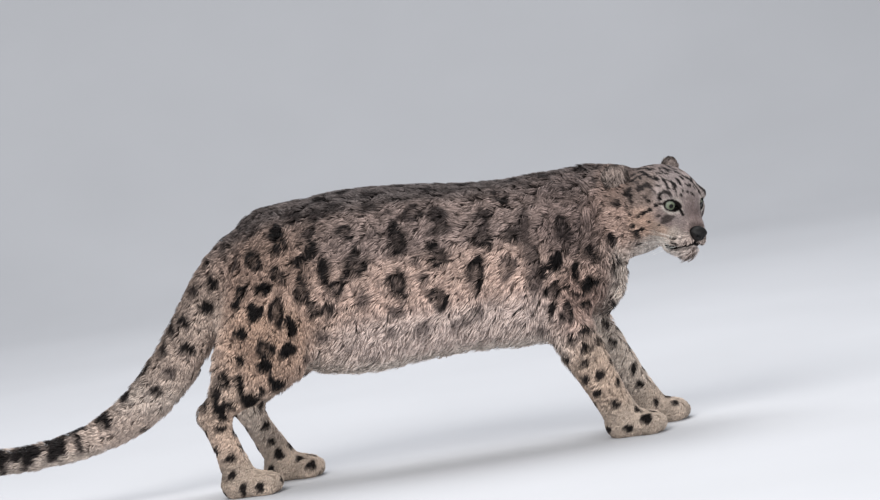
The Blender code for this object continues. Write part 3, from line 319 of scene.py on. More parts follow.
HEAD_COLOURS = (
    ((0.05, 0.0, 0.062), (0.33, 0.275, 0.265)),
    ((-0.02, 0.0, 0.072), (0.23, 0.185, 0.175)),
    ((-0.065, 0.0, 0.05), (0.17, 0.13, 0.118)),
    ((0.1, 0.0, 0.01), (0.235, 0.18, 0.172)),
    ((0.124, 0.012, -0.008), (0.21, 0.155, 0.15)),
    ((0.108, 0.024, -0.008), (0.42, 0.34, 0.32)),
    ((0.09, 0.028, 0.004), (0.38, 0.31, 0.295)),
    ((0.112, 0.032, -0.036), (0.82, 0.72, 0.66)),
    ((0.1, 0.04, -0.034), (0.78, 0.66, 0.58)),
    ((0.132, 0.01, -0.04), (0.7, 0.62, 0.59)),
    ((0.124, 0.022, -0.034), (0.7, 0.6, 0.55)),
    ((0.126, 0.0, -0.06), (0.9, 0.86, 0.84)),
    ((0.122, 0.0, -0.078), (0.92, 0.89, 0.87)),
    ((0.105, 0.02, -0.076), (0.9, 0.85, 0.82)),
    ((0.078, 0.046, -0.008), (0.32, 0.25, 0.235)),
    ((0.07, 0.046, 0.05), (0.42, 0.35, 0.33)),
    ((0.072, 0.052, -0.03), (0.7, 0.52, 0.42)),
    ((0.045, 0.072, -0.03), (0.62, 0.43, 0.34)),
    ((0.07, 0.04, -0.07), (0.8, 0.72, 0.66)),
    ((-0.01, 0.088, -0.045), (0.52, 0.37, 0.31)),
    ((0.05, 0.0, -0.085), (0.8, 0.72, 0.66)),
    ((0.015, 0.075, 0.03), (0.25, 0.19, 0.165)),
    ((-0.055, 0.07, 0.0), (0.27, 0.19, 0.16)),
)
# Small dark flecks over the brow, the crown and the back of the neck, in the head's own frame:
# how much finer they lie along x, y and z, their wavelength and how dark they are
FLECK_STRETCH = (0.55, 1.0, 0.55)
FLECK_SIZE, FLECK_DARK = 0.0125, 0.85
LIP_COLOUR = (0.01, 0.008, 0.008)
SPOT_COLOUR = (0.009, 0.007, 0.007)
# A marking's uneven edge, as waves round it and their size, how open and broken a rosette is, and
# the power of its darkness
SPOT_UNEVEN = ((2, 0.13), (3, 0.12), (5, 0.07))
RING_OPEN, RING_BROKEN = 0.84, 0.75
SPOT_CONTRAST = 1.5
# The pale patch under the eye, and the dark streaks from its corners, in the eye's frame
EYE_PALE = (0.6, 0.53, 0.48)
EYE_STREAKS = (
    ((-0.0165, -0.002), (-0.023, -0.013), 0.0024),
    ((0.014, 0.002), (0.023, 0.001), 0.0018),
)

# Dark markings: solid ones and rosettes
SOLID, RING = 0, 1
# The photo's middle pixel, the point of the animal's middle plane there, and a pixel's size on it
PHOTO_MIDDLE = (440, 250)
PHOTO_AIM = Vector((0.26904, 0.0, 0.41863))
PIXEL = 0.002
# Those that the camera's side shows: pixels across and down the photo, then half
# width, half height, tilt in degrees, kind and darkness
MARKS = (
    (638, 245, 0.006, 0.006, 0, SOLID, 0.7),
    (635, 233, 0.008, 0.006, 0, SOLID, 0.8),
    (627, 192, 0.01, 0.008, 0, SOLID, 0.7),
    (615, 203, 0.012, 0.008, 0, SOLID, 0.7),
    (617, 260, 0.006, 0.02, 20, SOLID, 0.8),
    (611, 240, 0.012, 0.014, 0, SOLID, 0.85),
    (600, 210, 0.006, 0.006, 0, SOLID, 0.6),
    (608, 267, 0.01, 0.014, 20, SOLID, 0.8),
    (612, 307, 0.008, 0.016, 0, SOLID, 0.8),
    (605, 318, 0.014, 0.008, 20, SOLID, 0.85),
    (590, 253, 0.012, 0.016, 0, SOLID, 0.8),
    (591, 284, 0.018, 0.012, 0, SOLID, 0.95),
    (586, 305, 0.014, 0.008, 0, SOLID, 0.9),
    (587, 333, 0.016, 0.008, 0, SOLID, 0.8),
    (575, 273, 0.008, 0.02, 0, SOLID, 0.9),
    (577, 295, 0.012, 0.006, 0, SOLID, 0.9),
    (566, 253, 0.006, 0.006, 0, SOLID, 0.9),
    (562, 230, 0.016, 0.024, 0, SOLID, 0.5),
    (567, 287, 0.006, 0.006, 0, SOLID, 0.9),
    (567, 314, 0.014, 0.016, 0, RING, 0.85),
    (556, 262, 0.014, 0.02, 0, SOLID, 0.9),
    (552, 290, 0.016, 0.016, 0, RING, 0.9),
    (553, 309, 0.008, 0.016, 0, SOLID, 0.8),
    (541, 272, 0.01, 0.016, 0, SOLID, 0.8),
    (543, 325, 0.01, 0.012, 0, SOLID, 0.4),
    # The next three long, faint marks are painted shade in the furrow behind the shoulder blade
    (530, 257, 0.016, 0.04, 0, SOLID, 0.42),
    (533, 280, 0.016, 0.032, 0, SOLID, 0.42),
    (523, 230, 0.016, 0.04, 0, SOLID, 0.42),
    (505, 200, 0.008, 0.016, 0, SOLID, 0.8),
    (510, 235, 0.016, 0.016, 0, RING, 0.85),
    (508, 268, 0.018, 0.02, 0, RING, 0.5),
    (494, 195, 0.008, 0.016, 0, SOLID, 0.8),
    (487, 245, 0.01, 0.01, 0, SOLID, 0.8),
    (482, 218, 0.018, 0.02, 0, SOLID, 0.5),
    (481, 237, 0.02, 0.016, 0, RING, 0.85),
    (475, 275, 0.016, 0.034, 0, RING, 0.9),
    (477, 308, 0.01, 0.016, 0, SOLID, 0.4),
    (466, 322, 0.01, 0.01, 0, SOLID, 0.35),
    (440, 228, 0.022, 0.016, 0, RING, 0.5),
    (455, 325, 0.01, 0.01, 0, SOLID, 0.35),
    (436, 213, 0.018, 0.02, 0, SOLID, 0.6),
    (437, 256, 0.02, 0.024, 0, RING, 0.95),
    (438, 298, 0.02, 0.02, 0, RING, 0.9),
    (423, 279, 0.01, 0.016, 0, SOLID, 0.4),
    (412, 212, 0.022, 0.018, 0, RING, 0.65),
    (414, 262, 0.012, 0.01, 0, SOLID, 0.4),
    (421, 329, 0.016, 0.016, 0, SOLID, 0.35),
    (396, 241, 0.02, 0.03, 0, RING, 0.95),
    (387, 212, 0.008, 0.008, 0, SOLID, 0.45),
    (397, 285, 0.02, 0.026, 0, RING, 0.95),
    (397, 310, 0.018, 0.012, 0, SOLID, 0.4),
    (392, 332, 0.012, 0.014, 0, SOLID, 0.35),
    (367, 193, 0.016, 0.01, 0, SOLID, 0.5),
    (368, 207, 0.02, 0.012, 0, SOLID, 0.45),
    (371, 233, 0.008, 0.008, 0, SOLID, 0.45),
    (364, 300, 0.018, 0.014, 20, SOLID, 0.4),
    (371, 359, 0.008, 0.006, 0, SOLID, 0.35),
    (355, 265, 0.022, 0.026, 25, RING, 0.95),
    (344, 233, 0.016, 0.016, 0, RING, 0.8),
    (332, 208, 0.02, 0.014, 0, RING, 0.5),
    (335, 289, 0.018, 0.016, 0, RING, 0.9),
    (323, 273, 0.012, 0.028, 0, SOLID, 0.8),
    (328, 310, 0.01, 0.016, 0, SOLID, 0.7),
    (313, 215, 0.016, 0.018, 0, SOLID, 0.5),
    (310, 250, 0.014, 0.02, 0, SOLID, 0.8),
    (307, 233, 0.016, 0.012, 0, SOLID, 0.5),
    (322, 333, 0.014, 0.012, 0, SOLID, 0.35),
    (312, 310, 0.016, 0.018, 0, RING, 0.9),
    (293, 217, 0.016, 0.018, 0, SOLID, 0.5),
    (297, 262, 0.016, 0.012, 0, SOLID, 0.8),
    (301, 292, 0.018, 0.024, 0, RING, 0.9),
    (307, 360, 0.01, 0.016, 0, SOLID, 0.35),
    (283, 242, 0.006, 0.016, 0, SOLID, 0.8),
    (292, 327, 0.012, 0.018, 0, SOLID, 0.95),
    (275, 232, 0.014, 0.018, 0, SOLID, 0.9),
    (281, 283, 0.006, 0.006, 0, SOLID, 0.8),
    (275, 250, 0.012, 0.01, 0, SOLID, 0.8),
    (277, 275, 0.016, 0.012, 0, RING, 0.8),
    (287, 351, 0.014, 0.016, 0, SOLID, 0.95),
    (276, 313, 0.016, 0.024, 0, RING, 0.95),
    (262, 289, 0.014, 0.016, 0, SOLID, 1.0),
    (277, 387, 0.012, 0.02, 20, SOLID, 0.95),
    (250, 233, 0.016, 0.012, 0, SOLID, 0.5),
    (252, 262, 0.016, 0.02, 0, RING, 0.8),
    (264, 350, 0.016, 0.018, 0, RING, 0.95),
    (264, 367, 0.016, 0.014, 0, SOLID, 0.95),
    (254, 312, 0.014, 0.02, 0, SOLID, 0.95),
    (240, 292, 0.01, 0.016, 0, SOLID, 0.9),
    (234, 264, 0.012, 0.016, 0, SOLID, 0.5),
    (240, 335, 0.016, 0.012, 0, SOLID, 0.9),
    (250, 403, 0.016, 0.018, 0, SOLID, 0.95),
    (234, 306, 0.012, 0.01, 0, SOLID, 0.9),
    (240, 361, 0.01, 0.012, 0, SOLID, 0.9),
    (222, 251, 0.005, 0.024, 0, SOLID, 0.8),
    (238, 383, 0.01, 0.016, 0, SOLID, 0.9),
    (211, 284, 0.01, 0.016, 0, SOLID, 0.9),
    (224, 381, 0.012, 0.016, 0, SOLID, 0.9),
    (228, 407, 0.012, 0.01, 0, SOLID, 0.9),
    (207, 308, 0.013, 0.016, 0, SOLID, 0.9),
    (218, 410, 0.01, 0.024, 0, SOLID, 0.9),
    (192, 292, 0.012, 0.012, 0, SOLID, 0.6),
    (185, 323, 0.012, 0.01, 0, SOLID, 0.8),
    (187, 349, 0.014, 0.012, 0, SOLID, 0.9),
    (168, 328, 0.01, 0.016, 0, SOLID, 0.85),
    (170, 373, 0.012, 0.01, 0, SOLID, 0.45),
    (156, 390, 0.01, 0.01, 0, SOLID, 0.8),
    (147, 373, 0.024, 0.008, -20, SOLID, 0.85),
    (125, 397, 0.016, 0.014, 0, SOLID, 0.85),
    (103, 420, 0.022, 0.012, -25, SOLID, 0.85),
    (75, 435, 0.016, 0.012, 0, SOLID, 0.85),
    (58, 443, 0.018, 0.012, 0, SOLID, 0.85),
    (33, 453, 0.018, 0.012, 0, SOLID, 0.85),
    (23, 466, 0.01, 0.006, 0, SOLID, 0.6),
    (15, 457, 0.014, 0.01, 0, SOLID, 0.85),
    (1, 468, 0.008, 0.012, 0, SOLID, 0.7),
)
# How many of them the far side repeats, how far these stray and grow or shrink, and their tilt
FAR_COPY_CHANCE = 0.92
FAR_COPY_SHIFT, FAR_COPY_STRAY = 0.012, 0.008
FAR_COPY_SIZES = (0.85, 1.15)
FAR_COPY_TILT = 20
# Where more of them grow: lowest and highest corner on the left half, spacing, half size, kind and
# darkness
FILL_DENSITY = 0.35
FILL_SPOTS = (
    ("hind legs", (-0.3, 0.0, 0.012), (0.01, 0.2, 0.215), 0.027, 0.0085, SOLID, 0.9),
    ("forelegs", (0.45, 0.0, 0.012), (0.72, 0.2, 0.215), 0.028, 0.008, SOLID, 0.88),
    ("neck", (0.59, 0.0, 0.3), (0.65, 0.2, 0.56), 0.036, 0.0085, SOLID, 0.75),
    ("back", (-0.18, 0.0, 0.52), (0.59, 0.07, 0.6), 0.05, 0.0125, SOLID, 0.7),
    ("tail top", (-0.42, 0.0, 0.1), (-0.19, 0.2, 0.5), 0.044, 0.01, SOLID, 0.8),
)
# Rings towards the tail's tip: x, half width along the tail, darkness
TAIL_RINGS = (
    (-0.52, 0.01, 0.55),
    (-0.572, 0.011, 0.7),
    (-0.625, 0.012, 0.8),
    (-0.68, 0.013, 0.88),
    (-0.735, 0.014, 0.92),
    (-0.785, 0.01, 0.92),
)
# Markings of the head, placed on an enlarged part of the photo: that part's corner in the
# photo and its scale, then each mark as above
HEAD_CROP, HEAD_CROP_SCALE = (580, 140), 5.067
HEAD_MARKS = (
    (570, 270, 0.0041, 0.0026, -20, SOLID, 0.95),
    # A broad, faint patch below the eye: painted shade there
    (440, 400, 0.0134, 0.0079, 0, SOLID, 0.45),
    (545, 262, 0.0032, 0.0026, 0, SOLID, 0.9),
    (520, 257, 0.0023, 0.0031, 0, SOLID, 0.78),
    (600, 262, 0.0032, 0.0026, -30, SOLID, 0.95),
    (486, 262, 0.0018, 0.0072, 0, SOLID, 0.78),
    (577, 240, 0.0041, 0.0026, -30, SOLID, 0.95),
    (400, 432, 0.0028, 0.0024, 0, SOLID, 0.78),
    (540, 226, 0.0054, 0.0026, -30, SOLID, 0.9),
    # A small, faint patch below the eye: painted shade there
    (400, 380, 0.0047, 0.0032, 0, SOLID, 0.52),
    (470, 236, 0.0018, 0.0087, 0, SOLID, 0.9),
    (405, 297, 0.0049, 0.0039, 0, SOLID, 1.0),
    (412, 276, 0.0098, 0.003, 25, SOLID, 0.95),
    (500, 215, 0.0049, 0.0026, -20, SOLID, 0.9),
    (385, 333, 0.0049, 0.0032, 10, SOLID, 1.0),
    (440, 235, 0.0023, 0.0113, 0, SOLID, 1.0),
    (345, 418, 0.0038, 0.0032, 0, SOLID, 0.9),
    (560, 202, 0.0059, 0.0026, -35, SOLID, 0.95),
    (350, 355, 0.0065, 0.0039, 10, SOLID, 1.0),
    (530, 186, 0.0063, 0.0031, -30, SOLID, 1.0),
    (345, 310, 0.0044, 0.0039, 0, SOLID, 0.9),
    (310, 456, 0.0038, 0.0032, 0, SOLID, 0.9),
    (318, 372, 0.0071, 0.0045, 15, SOLID, 1.0),
    (420, 200, 0.0028, 0.0072, 15, SOLID, 1.0),
    (330, 290, 0.0045, 0.0031, 0, SOLID, 0.67),
    (285, 488, 0.0049, 0.0096, 20, SOLID, 0.9),
    (290, 390, 0.0054, 0.0039, 15, SOLID, 0.78),
    (490, 162, 0.0082, 0.0036, -15, SOLID, 0.95),
    (440, 168, 0.0063, 0.0026, -10, SOLID, 0.95),
    (262, 437, 0.0059, 0.0045, 20, SOLID, 0.9),
    (380, 188, 0.0023, 0.0077, 0, SOLID, 1.0),
    (330, 225, 0.0079, 0.0055, 0, SOLID, 0.65),
    (400, 166, 0.0054, 0.0026, -10, SOLID, 0.9),
    (250, 380, 0.0045, 0.0042, 0, SOLID, 0.67),
    (300, 245, 0.0079, 0.0071, 0, SOLID, 0.65),
    (350, 182, 0.0041, 0.0036, 0, SOLID, 0.9),
    (255, 300, 0.0044, 0.009, 0, SOLID, 0.9),
    (410, 140, 0.0072, 0.0026, 0, SOLID, 0.78),
    (230, 345, 0.0044, 0.0076, 0, SOLID, 0.78),
    (455, 130, 0.0072, 0.0026, 0, SOLID, 0.78),
    (360, 145, 0.0072, 0.0031, 0, SOLID, 0.78),
    (265, 200, 0.0076, 0.0052, 0, SOLID, 0.9),
    (220, 270, 0.0044, 0.0076, 0, SOLID, 0.78),
    (300, 160, 0.0063, 0.0031, 0, SOLID, 0.78),
)
# Dots that the whiskers grow from: a place in the head's own frame, half width, half height, darkness
WHISKER_DOTS = (
    ((0.112, 0.034, -0.036), 0.0034, 0.0024, 1.0),
    ((0.104, 0.038, -0.037), 0.0034, 0.0024, 1.0),
    ((0.096, 0.041, -0.038), 0.0032, 0.0024, 0.95),
    ((0.118, 0.032, -0.043), 0.0034, 0.0024, 1.0),
    ((0.11, 0.036, -0.044), 0.0034, 0.0024, 1.0),
    ((0.102, 0.038, -0.045), 0.0032, 0.0024, 0.95),
    ((0.122, 0.028, -0.036), 0.0028, 0.0024, 0.9),
)
# Those nearer to the middle than this stand on one side only
PAIRED_FROM = 0.035

# Tufts: how deep they root, how thick they are for their width, from what length they bend twice
ROOT_DEPTH = 0.0025
TUFT_THICKNESS = 0.5
LONG_TUFT = 0.036
# The share of tufts that lead a clump
CLUMPS = 0.05
# Each kind of tuft: its faces, its vertices' shades, how far they take the colour at the tip, and
# its patch of the bake's map
# Their shades are painted light and shade on each tuft: lighter on its ridge than on its edges, lightest at
# its tip, and darkest at its root, partly from its grey underfur and partly as painted shade under the
# tufts over it
ONCE_BENT = {
    "faces": ((0, 2, 1), (0, 3, 2), (0, 1, 3), (1, 2, 4), (2, 3, 4), (3, 1, 4)),
    "tones_and_painted_shades": (0.34, 0.9, 1.04, 0.9, 1.24),
    "tip_shares": (0.0, 0.1, 0.1, 0.1, 0.9),
    "patch": ((0, -0.0015), (-0.0012, 0), (0, 0), (0.0012, 0), (0, 0.0015)),
}
TWICE_BENT = {
    "faces": (
        (0, 2, 1), (0, 3, 2), (0, 1, 3),
        (1, 2, 5), (1, 5, 4), (2, 3, 6), (2, 6, 5), (3, 1, 4), (3, 4, 6),
        (4, 5, 7), (5, 6, 7), (6, 4, 7),
    ),
    "tones_and_painted_shades": (0.34, 0.74, 0.84, 0.74, 0.98, 1.08, 0.98, 1.24),
    "tip_shares": (0.0, 0.0, 0.0, 0.0, 0.4, 0.4, 0.4, 0.75),
    "patch": (
        (0, -0.0015), (-0.0012, -0.0004), (0, -0.0004), (0.0012, -0.0004),
        (-0.001, 0.0007), (0, 0.0007), (0.001, 0.0007), (0, 0.0015),
    ),
}
LID_BARE = 0.0022
HEAD_FINE_REACH = 0.125
HEAD_SMOOTHING = 4
# The muzzle is finer still
MUZZLE = Vector((0.118, 0.0, -0.046))
MUZZLE_FINE_REACH = 0.05
COARSE_TRIANGLES = 9000
# The coat's pieces, each right one followed by its left one, and where they begin
REGIONS = (
    "head", "neck", "shoulder_right", "shoulder_left", "side_right", "side_left",
    "waist_right", "waist_left", "rump_right", "rump_left", "hind_legs", "forelegs", "tail",
)
HEAD_RADIUS, LEG_TOP = 0.13, 0.215
NECK_FROM, SHOULDER_FROM, SIDE_FROM, RUMP_FROM = 0.585, 0.44, 0.25, 0.06
TAIL_ROOT_FROM, TAIL_FROM = -0.19, -0.285
# The skin takes the coat's colours darkened by this much: painted shade under the coat
SKIN_SHADE = 0.55

# The stage and the camera, which looks from the animal's right with the photo's roll
STAGE_HALF_WIDTH, STAGE_FRONT, STAGE_BACK, STAGE_BEND, STAGE_TOP = 14.0, -16.0, 4.0, 2.5, 7.0
CAMERA_DISTANCE, CAMERA_HEIGHT_ANGLE = 12.0, math.radians(5.0)
CAMERA_AIM = Vector((0.2689, 0.0, 0.4186))
SCENE_WIDTH = 1.76
WORLD_LIGHT = 0.45
LIGHTS = (
    ("key", (-1.6, -4.2, 4.2), (0.0, 0.0, 0.3), 3.6, 330.0, (1.0, 0.98, 0.95)),
    ("fill", (3.2, -4.4, 1.2), (0.3, 0.0, 0.3), 3.2, 150.0, (0.96, 0.98, 1.0)),
    ("top", (0.0, 1.6, 4.6), (0.0, 0.0, 0.3), 4.0, 260.0, (0.97, 0.98, 1.0)),
)

# Face
LID_EDGE = 0.0013
IRIS_RADIUS = 0.0112
EYE_BULGE = 0.045
# The iris from the pupil's middle outward, as shares of its reach, and their colours
IRIS_STOPS_REACH = IRIS_RADIUS * 1.25
IRIS_STOPS = (
    (0.0, (0.004, 0.004, 0.004)),
    (0.29, (0.004, 0.004, 0.004)),
    (0.33, (0.09, 0.1, 0.06)),
    (0.52, (0.15, 0.17, 0.125)),
    (0.68, (0.135, 0.15, 0.12)),
    (0.76, (0.05, 0.05, 0.04)),
    (0.82, (0.008, 0.007, 0.006)),
    (1.0, (0.02, 0.015, 0.012)),
)
NOSE_COLOUR = (0.006, 0.005, 0.005)
LID_COLOUR = (0.016, 0.013, 0.012)
WHISKER_COLOUR = (0.8, 0.78, 0.74)
EAR_CUP_SHADE = 0.8
EAR_BACK, EAR_RIM, EAR_INSIDE = (0.2, 0.155, 0.14), (0.03, 0.024, 0.022), (0.46, 0.37, 0.33)
EAR_DENSITY = 26.0
# Each row of whiskers: its height in the head's frame and how many it has on a side
WHISKER_ROWS = ((-0.034, 4), (-0.041, 5), (-0.048, 5), (-0.055, 4))
WHISKER_LENGTH, WHISKER_RADIUS, WHISKER_TAPER = 0.062, 0.0002, 0.85
FLOOR_CLEARANCE = 0.0006
FLOOR_COLOUR = (0.43, 0.435, 0.455)


def ramp(value, none, full):
    """0 where the value is at none, 1 where it is at full, and held there beyond."""
    return min(1.0, max(0.0, (value - none) / (full - none)))


def smooth_rows(rows, steps):
    """The rows with steps more between each two, on a Catmull-Rom curve through them."""
    points = [np.array(row, float) for row in rows]
    points = [2 * points[0] - points[1], *points, 2 * points[-1] - points[-2]]
    made = []
    for before, a, b, after in zip(points, points[1:], points[2:], points[3:]):
        for step in range(steps):
            t = step / steps
            made.append(
                0.5 * (2 * a + (b - before) * t + (2 * before - 5 * a + 4 * b - after) * t**2
                       + (3 * a - before - 3 * b + after) * t**3)
            )
    made.append(points[-2])
    return made


def headings(points, looped=False):
    """The way a path runs at each of its points."""
    last = len(points) - 1
    ways = []
    for i in range(len(points)):
        before, after = max(i - 1, 0), min(i + 1, last)
        if looped:
            before, after = i - 1, (i + 1) % len(points)
        ways.append((points[after] - points[before]).normalized())
    return ways


def ring_round(centre, side, up, sides, wide, high):
    """Points on an ellipse round a centre."""
    ring = []
    for k in range(sides):
        angle = 2 * math.pi * k / sides
        ring.append(centre + side * math.cos(angle) * wide + up * math.sin(angle) * high)
    return ring


def face_outward(mesh):
    """Turns the faces of a closed bmesh outward."""
    bmesh.ops.recalc_face_normals(mesh, faces=mesh.faces)
    if volume_of(mesh.faces) < 0:
        bmesh.ops.reverse_faces(mesh, faces=mesh.faces)


def volume_of(faces):
    total = 0.0
    for face in faces:
        first, *rest = [vertex.co for vertex in face.verts]
        for b, c in zip(rest, rest[1:]):
            total += first.dot(b.cross(c)) / 6
    return total


def loft(rings):
    """A closed mesh through rings of equal length, each a list of points, flat at both ends."""
    mesh = bmesh.new()
    loops = [[mesh.verts.new(point) for point in ring] for ring in rings]
    for lower, upper in zip(loops, loops[1:]):
        for i in range(len(lower)):
            j = (i + 1) % len(lower)
            mesh.faces.new((lower[i], lower[j], upper[j], upper[i]))
    mesh.faces.new(loops[0][::-1])
    mesh.faces.new(loops[-1])
    face_outward(mesh)
    return mesh


def tube(rows, sides=20, steps=4, roundness=1.0, caps=None, upright=False):
    """A loft along rows of x, y, z, half width, half depth ahead and half depth behind.

    Ahead is across the path in the upright plane: above on a neck, in front on a leg. With
    upright, every ring stands plumb whatever the path's slope.
    """
    rows = smooth_rows(rows, steps)
    centres = [Vector(row[:3]) for row in rows]
    rings = []
    for row, centre, along in zip(rows, centres, headings(centres)):
        if upright:
            along = Vector((1, 0, 0))
        side = (Vector((0, 1, 0)) - along * along.y).normalized()
        ahead = along.cross(side)
        ring = []
        for k in range(sides):
            angle = 2 * math.pi * k / sides
            c, s = math.cos(angle), math.sin(angle)
            c = math.copysign(abs(c) ** roundness, c)
            s = math.copysign(abs(s) ** roundness, s)
            reach = row[4] if s > 0 else row[5]
            ring.append(centre + side * (c * row[3]) + ahead * (s * reach))
        rings.append(ring)
    first, last = caps or (min(rows[0][3:]), min(rows[-1][3:]))
    starts = round_cap(rings[0], centres[0], centres[0] - centres[1], first)
    ends = round_cap(rings[-1], centres[-1], centres[-1] - centres[-2], last)
    return loft(starts[::-1] + rings + ends)


def round_cap(ring, centre, outward, radius):
    """Rings that close a tube's end as a dome of this height."""
    outward = outward.normalized()
    rings = []
    for angle in (0.45, 0.9, 1.3):
        shift = outward * (radius * math.sin(angle))
        rings.append([centre + (point - centre) * math.cos(angle) + shift for point in ring])
    return rings


def barrel(rows, fullest=0.47, roundness=0.86, caps=(0.04, 0.04), upright=False):
    """A tube along +X from rows of x, top, bottom and half width, widest at a share of its height."""
    made = []
    for x, top, bottom, half_width in rows:
        middle = bottom + fullest * (top - bottom)
        made.append((x, 0.0, middle, half_width, top - middle, middle - bottom))
    return tube(made, sides=28, roundness=roundness, caps=caps, upright=upright)


def ball(centre, radii, sides=20):
    mesh = bmesh.new()
    bmesh.ops.create_uvsphere(mesh, u_segments=sides, v_segments=sides // 2, radius=1.0)
    bmesh.ops.scale(mesh, vec=radii, verts=mesh.verts)
    bmesh.ops.translate(mesh, vec=centre, verts=mesh.verts)
    return mesh


def joined(meshes):
    """One bmesh holding all of these."""
    whole = bmesh.new()
    for mesh in meshes:
        data = mesh_from(mesh, "part")
        whole.from_mesh(data)
        bpy.data.meshes.remove(data)
    return whole


def mesh_from(form, name):
    """The bmesh as a mesh, which takes its place."""
    data = bpy.data.meshes.new(name)
    form.to_mesh(data)
    form.free()
    return data


def linked(name, data):
    """A new object in the scene."""
    made = bpy.data.objects.new(name, data)
    bpy.context.scene.collection.objects.link(made)
    return made


def apply_modifiers(obj):
    """Replaces the object's mesh by what its modifiers make of it."""
    graph = bpy.context.evaluated_depsgraph_get()
    data = bpy.data.meshes.new_from_object(obj.evaluated_get(graph))
    old = obj.data
    obj.modifiers.clear()
    obj.data = data
    bpy.data.meshes.remove(old)
    return obj


def head_matrix():
    """From the head's own frame to the model's."""
    turn, nod, roll = HEAD_TURN, HEAD_NOD, CAMERA_ROLL
    ahead = Vector((math.cos(turn) * math.cos(nod), -math.sin(turn) * math.cos(nod), -math.sin(nod)))
    left = Vector((math.sin(turn), math.cos(turn), 0))
    up = ahead.cross(left)
    axes = Matrix((ahead, left, up)).transposed().to_4x4()
    return Matrix.Translation(HEAD_PLACE) @ Matrix.Rotation(roll, 4, "Y") @ axes


def view_axes():
    """The camera's axes: to its right, up, and back towards it."""
    roll, rise = CAMERA_ROLL, CAMERA_HEIGHT_ANGLE
    back = Vector((0, -math.cos(rise), math.sin(rise)))
    up = Vector((math.sin(roll), 0, math.cos(roll)))
    up = (up - back * up.dot(back)).normalized()
    return up.cross(back), up, back


def bone(start, end, sizes, bulge=(0.0, 0.0)):
    """A tube between two joints, with the sizes at its start, middle and end."""
    middle = [(a + b) / 2 for a, b in zip(start, end)]
    middle[0] += bulge[0]
    middle[2] += bulge[1]
    return tube([(*start, *sizes[0]), (*middle, *sizes[1]), (*end, *sizes[2])], sides=16, steps=4)


def paw(ball_joint):
    """The paw's pad, instep and four toes, ahead of the joint that ends the leg."""
    x, y = ball_joint[0], ball_joint[1]
    forms = [
        ball((x + 0.004, y, 0.026), (0.045, 0.043, 0.036)),
        ball((x + 0.028, y, 0.021), (0.044, PAW_WIDTH / 2 * 0.88, 0.030)),
    ]
    for toe in range(TOE_COUNT):
        share = (toe - (TOE_COUNT - 1) / 2) / ((TOE_COUNT - 1) / 2)
        reach = PAW_LENGTH * (0.50 - 0.10 * share**2)
        forms.append(
            ball((x + reach, y + share * PAW_WIDTH * 0.35, 0.020), (0.030, 0.0150, 0.025), 14)
        )
    return forms


def leg_forms():
    forms = []
    for side in (LEFT, RIGHT):
        for (x, y, z), radii in MUSCLES:
            forms.append(ball((x, side * y, z), radii, 24))
        hip, knee, hock, hind_ball = ((x, side * y, z) for x, y, z in HIND_JOINTS[side])
        forms.append(bone(hip, knee, THIGH, (-0.010, 0)))
        forms.append(bone(knee, hock, SHANK))
        forms.append(bone(hock, hind_ball, CANNON))
        forms.append(ball((hock[0] - 0.008, hock[1], hock[2]), (0.034, 0.027, 0.032)))
        behind_hip = (hip[0] - 0.045, hip[1] * 0.9, hip[2] - 0.06)
        above_hock = (hock[0] + 0.012, hock[1], hock[2] + 0.02)
        forms.append(bone(behind_hip, above_hock, SHANK_BACK))
        forms += paw(hind_ball)
        shoulder, elbow, wrist, fore_ball = ((x, side * y, z) for x, y, z in FORE_JOINTS[side])
        forms.append(bone(shoulder, elbow, UPPER_ARM))
        forms.append(bone(elbow, wrist, FOREARM))
        forms.append(bone(wrist, fore_ball, PASTERN))
        forms += paw(fore_ball)
    return forms


def head_forms():
    forms = [barrel(SKULL, 0.46, 0.92, (0.025, 0.006)), tube(BRIDGE, caps=(0.01, 0.006))]
    for (x, y, z), radii in HEAD_BALLS:
        for side in (LEFT, RIGHT) if y else (LEFT,):
            forms.append(ball((x, side * y, z), radii))
    return forms


def whole_body():
    """All of the flesh and coat but the ears, as one smooth closed mesh."""
    head = joined(head_forms())
    head.transform(head_matrix())
    tail = tube([(*row, row[3], row[3]) for row in TAIL], sides=18)
    tip = ball(TAIL[-1][:3], (TAIL[-1][3],) * 3)
    trunk = [barrel(TORSO, upright=True), tube(NECK, sides=24)]
    body = linked("whole", mesh_from(joined([*trunk, tail, tip, head, *leg_forms()]), "whole"))
    remesh = body.modifiers.new("Remesh", "REMESH")
    remesh.mode = "VOXEL"
    remesh.voxel_size = BODY_VOXEL
    apply_modifiers(body)
    relax(body, "all", lambda point: 1.0, FINE_ROUNDS)
    relax(body, "soft", softness, SOFT_ROUNDS)
    return body


def softness(point):
    """How far the forms melt together at a point: fully on the trunk, hardly on the face and paws."""
    ahead = (point - HEAD_PLACE).length
    head = ramp(ahead, 0.085, 0.165)
    foot = ramp(point.z, 0.07, 0.17)
    tail = max(0.25, ramp(point.x, -0.30, -0.20))
    return min(head, foot, tail)


def relax(body, name, weight_at, rounds):
    """Smooths the object's mesh, at each vertex as much as weight_at says."""
    group = body.vertex_groups.new(name=name)
    for vertex in body.data.vertices:
        group.add((vertex.index,), weight_at(vertex.co), "REPLACE")
    smooth = body.modifiers.new("Smooth", "SMOOTH")
    smooth.factor = 0.5
    smooth.iterations = rounds
    smooth.vertex_group = name
    apply_modifiers(body)


def eye_frame(side):
    """The matrix of an eye: X the way it looks, Y outward along the lids, Z up."""
    ahead = Vector((EYE_AXIS.x, side * EYE_AXIS.y, EYE_AXIS.z)).normalized()
    up = (Vector((0, 0, 1)) - ahead * ahead.z).normalized()
    outward = up.cross(ahead) * side
    place = Vector((EYE_PLACE.x, side * EYE_PLACE.y, EYE_PLACE.z))
    axes = Matrix((ahead, outward, up)).transposed().to_4x4()
    return head_matrix() @ Matrix.Translation(place) @ axes


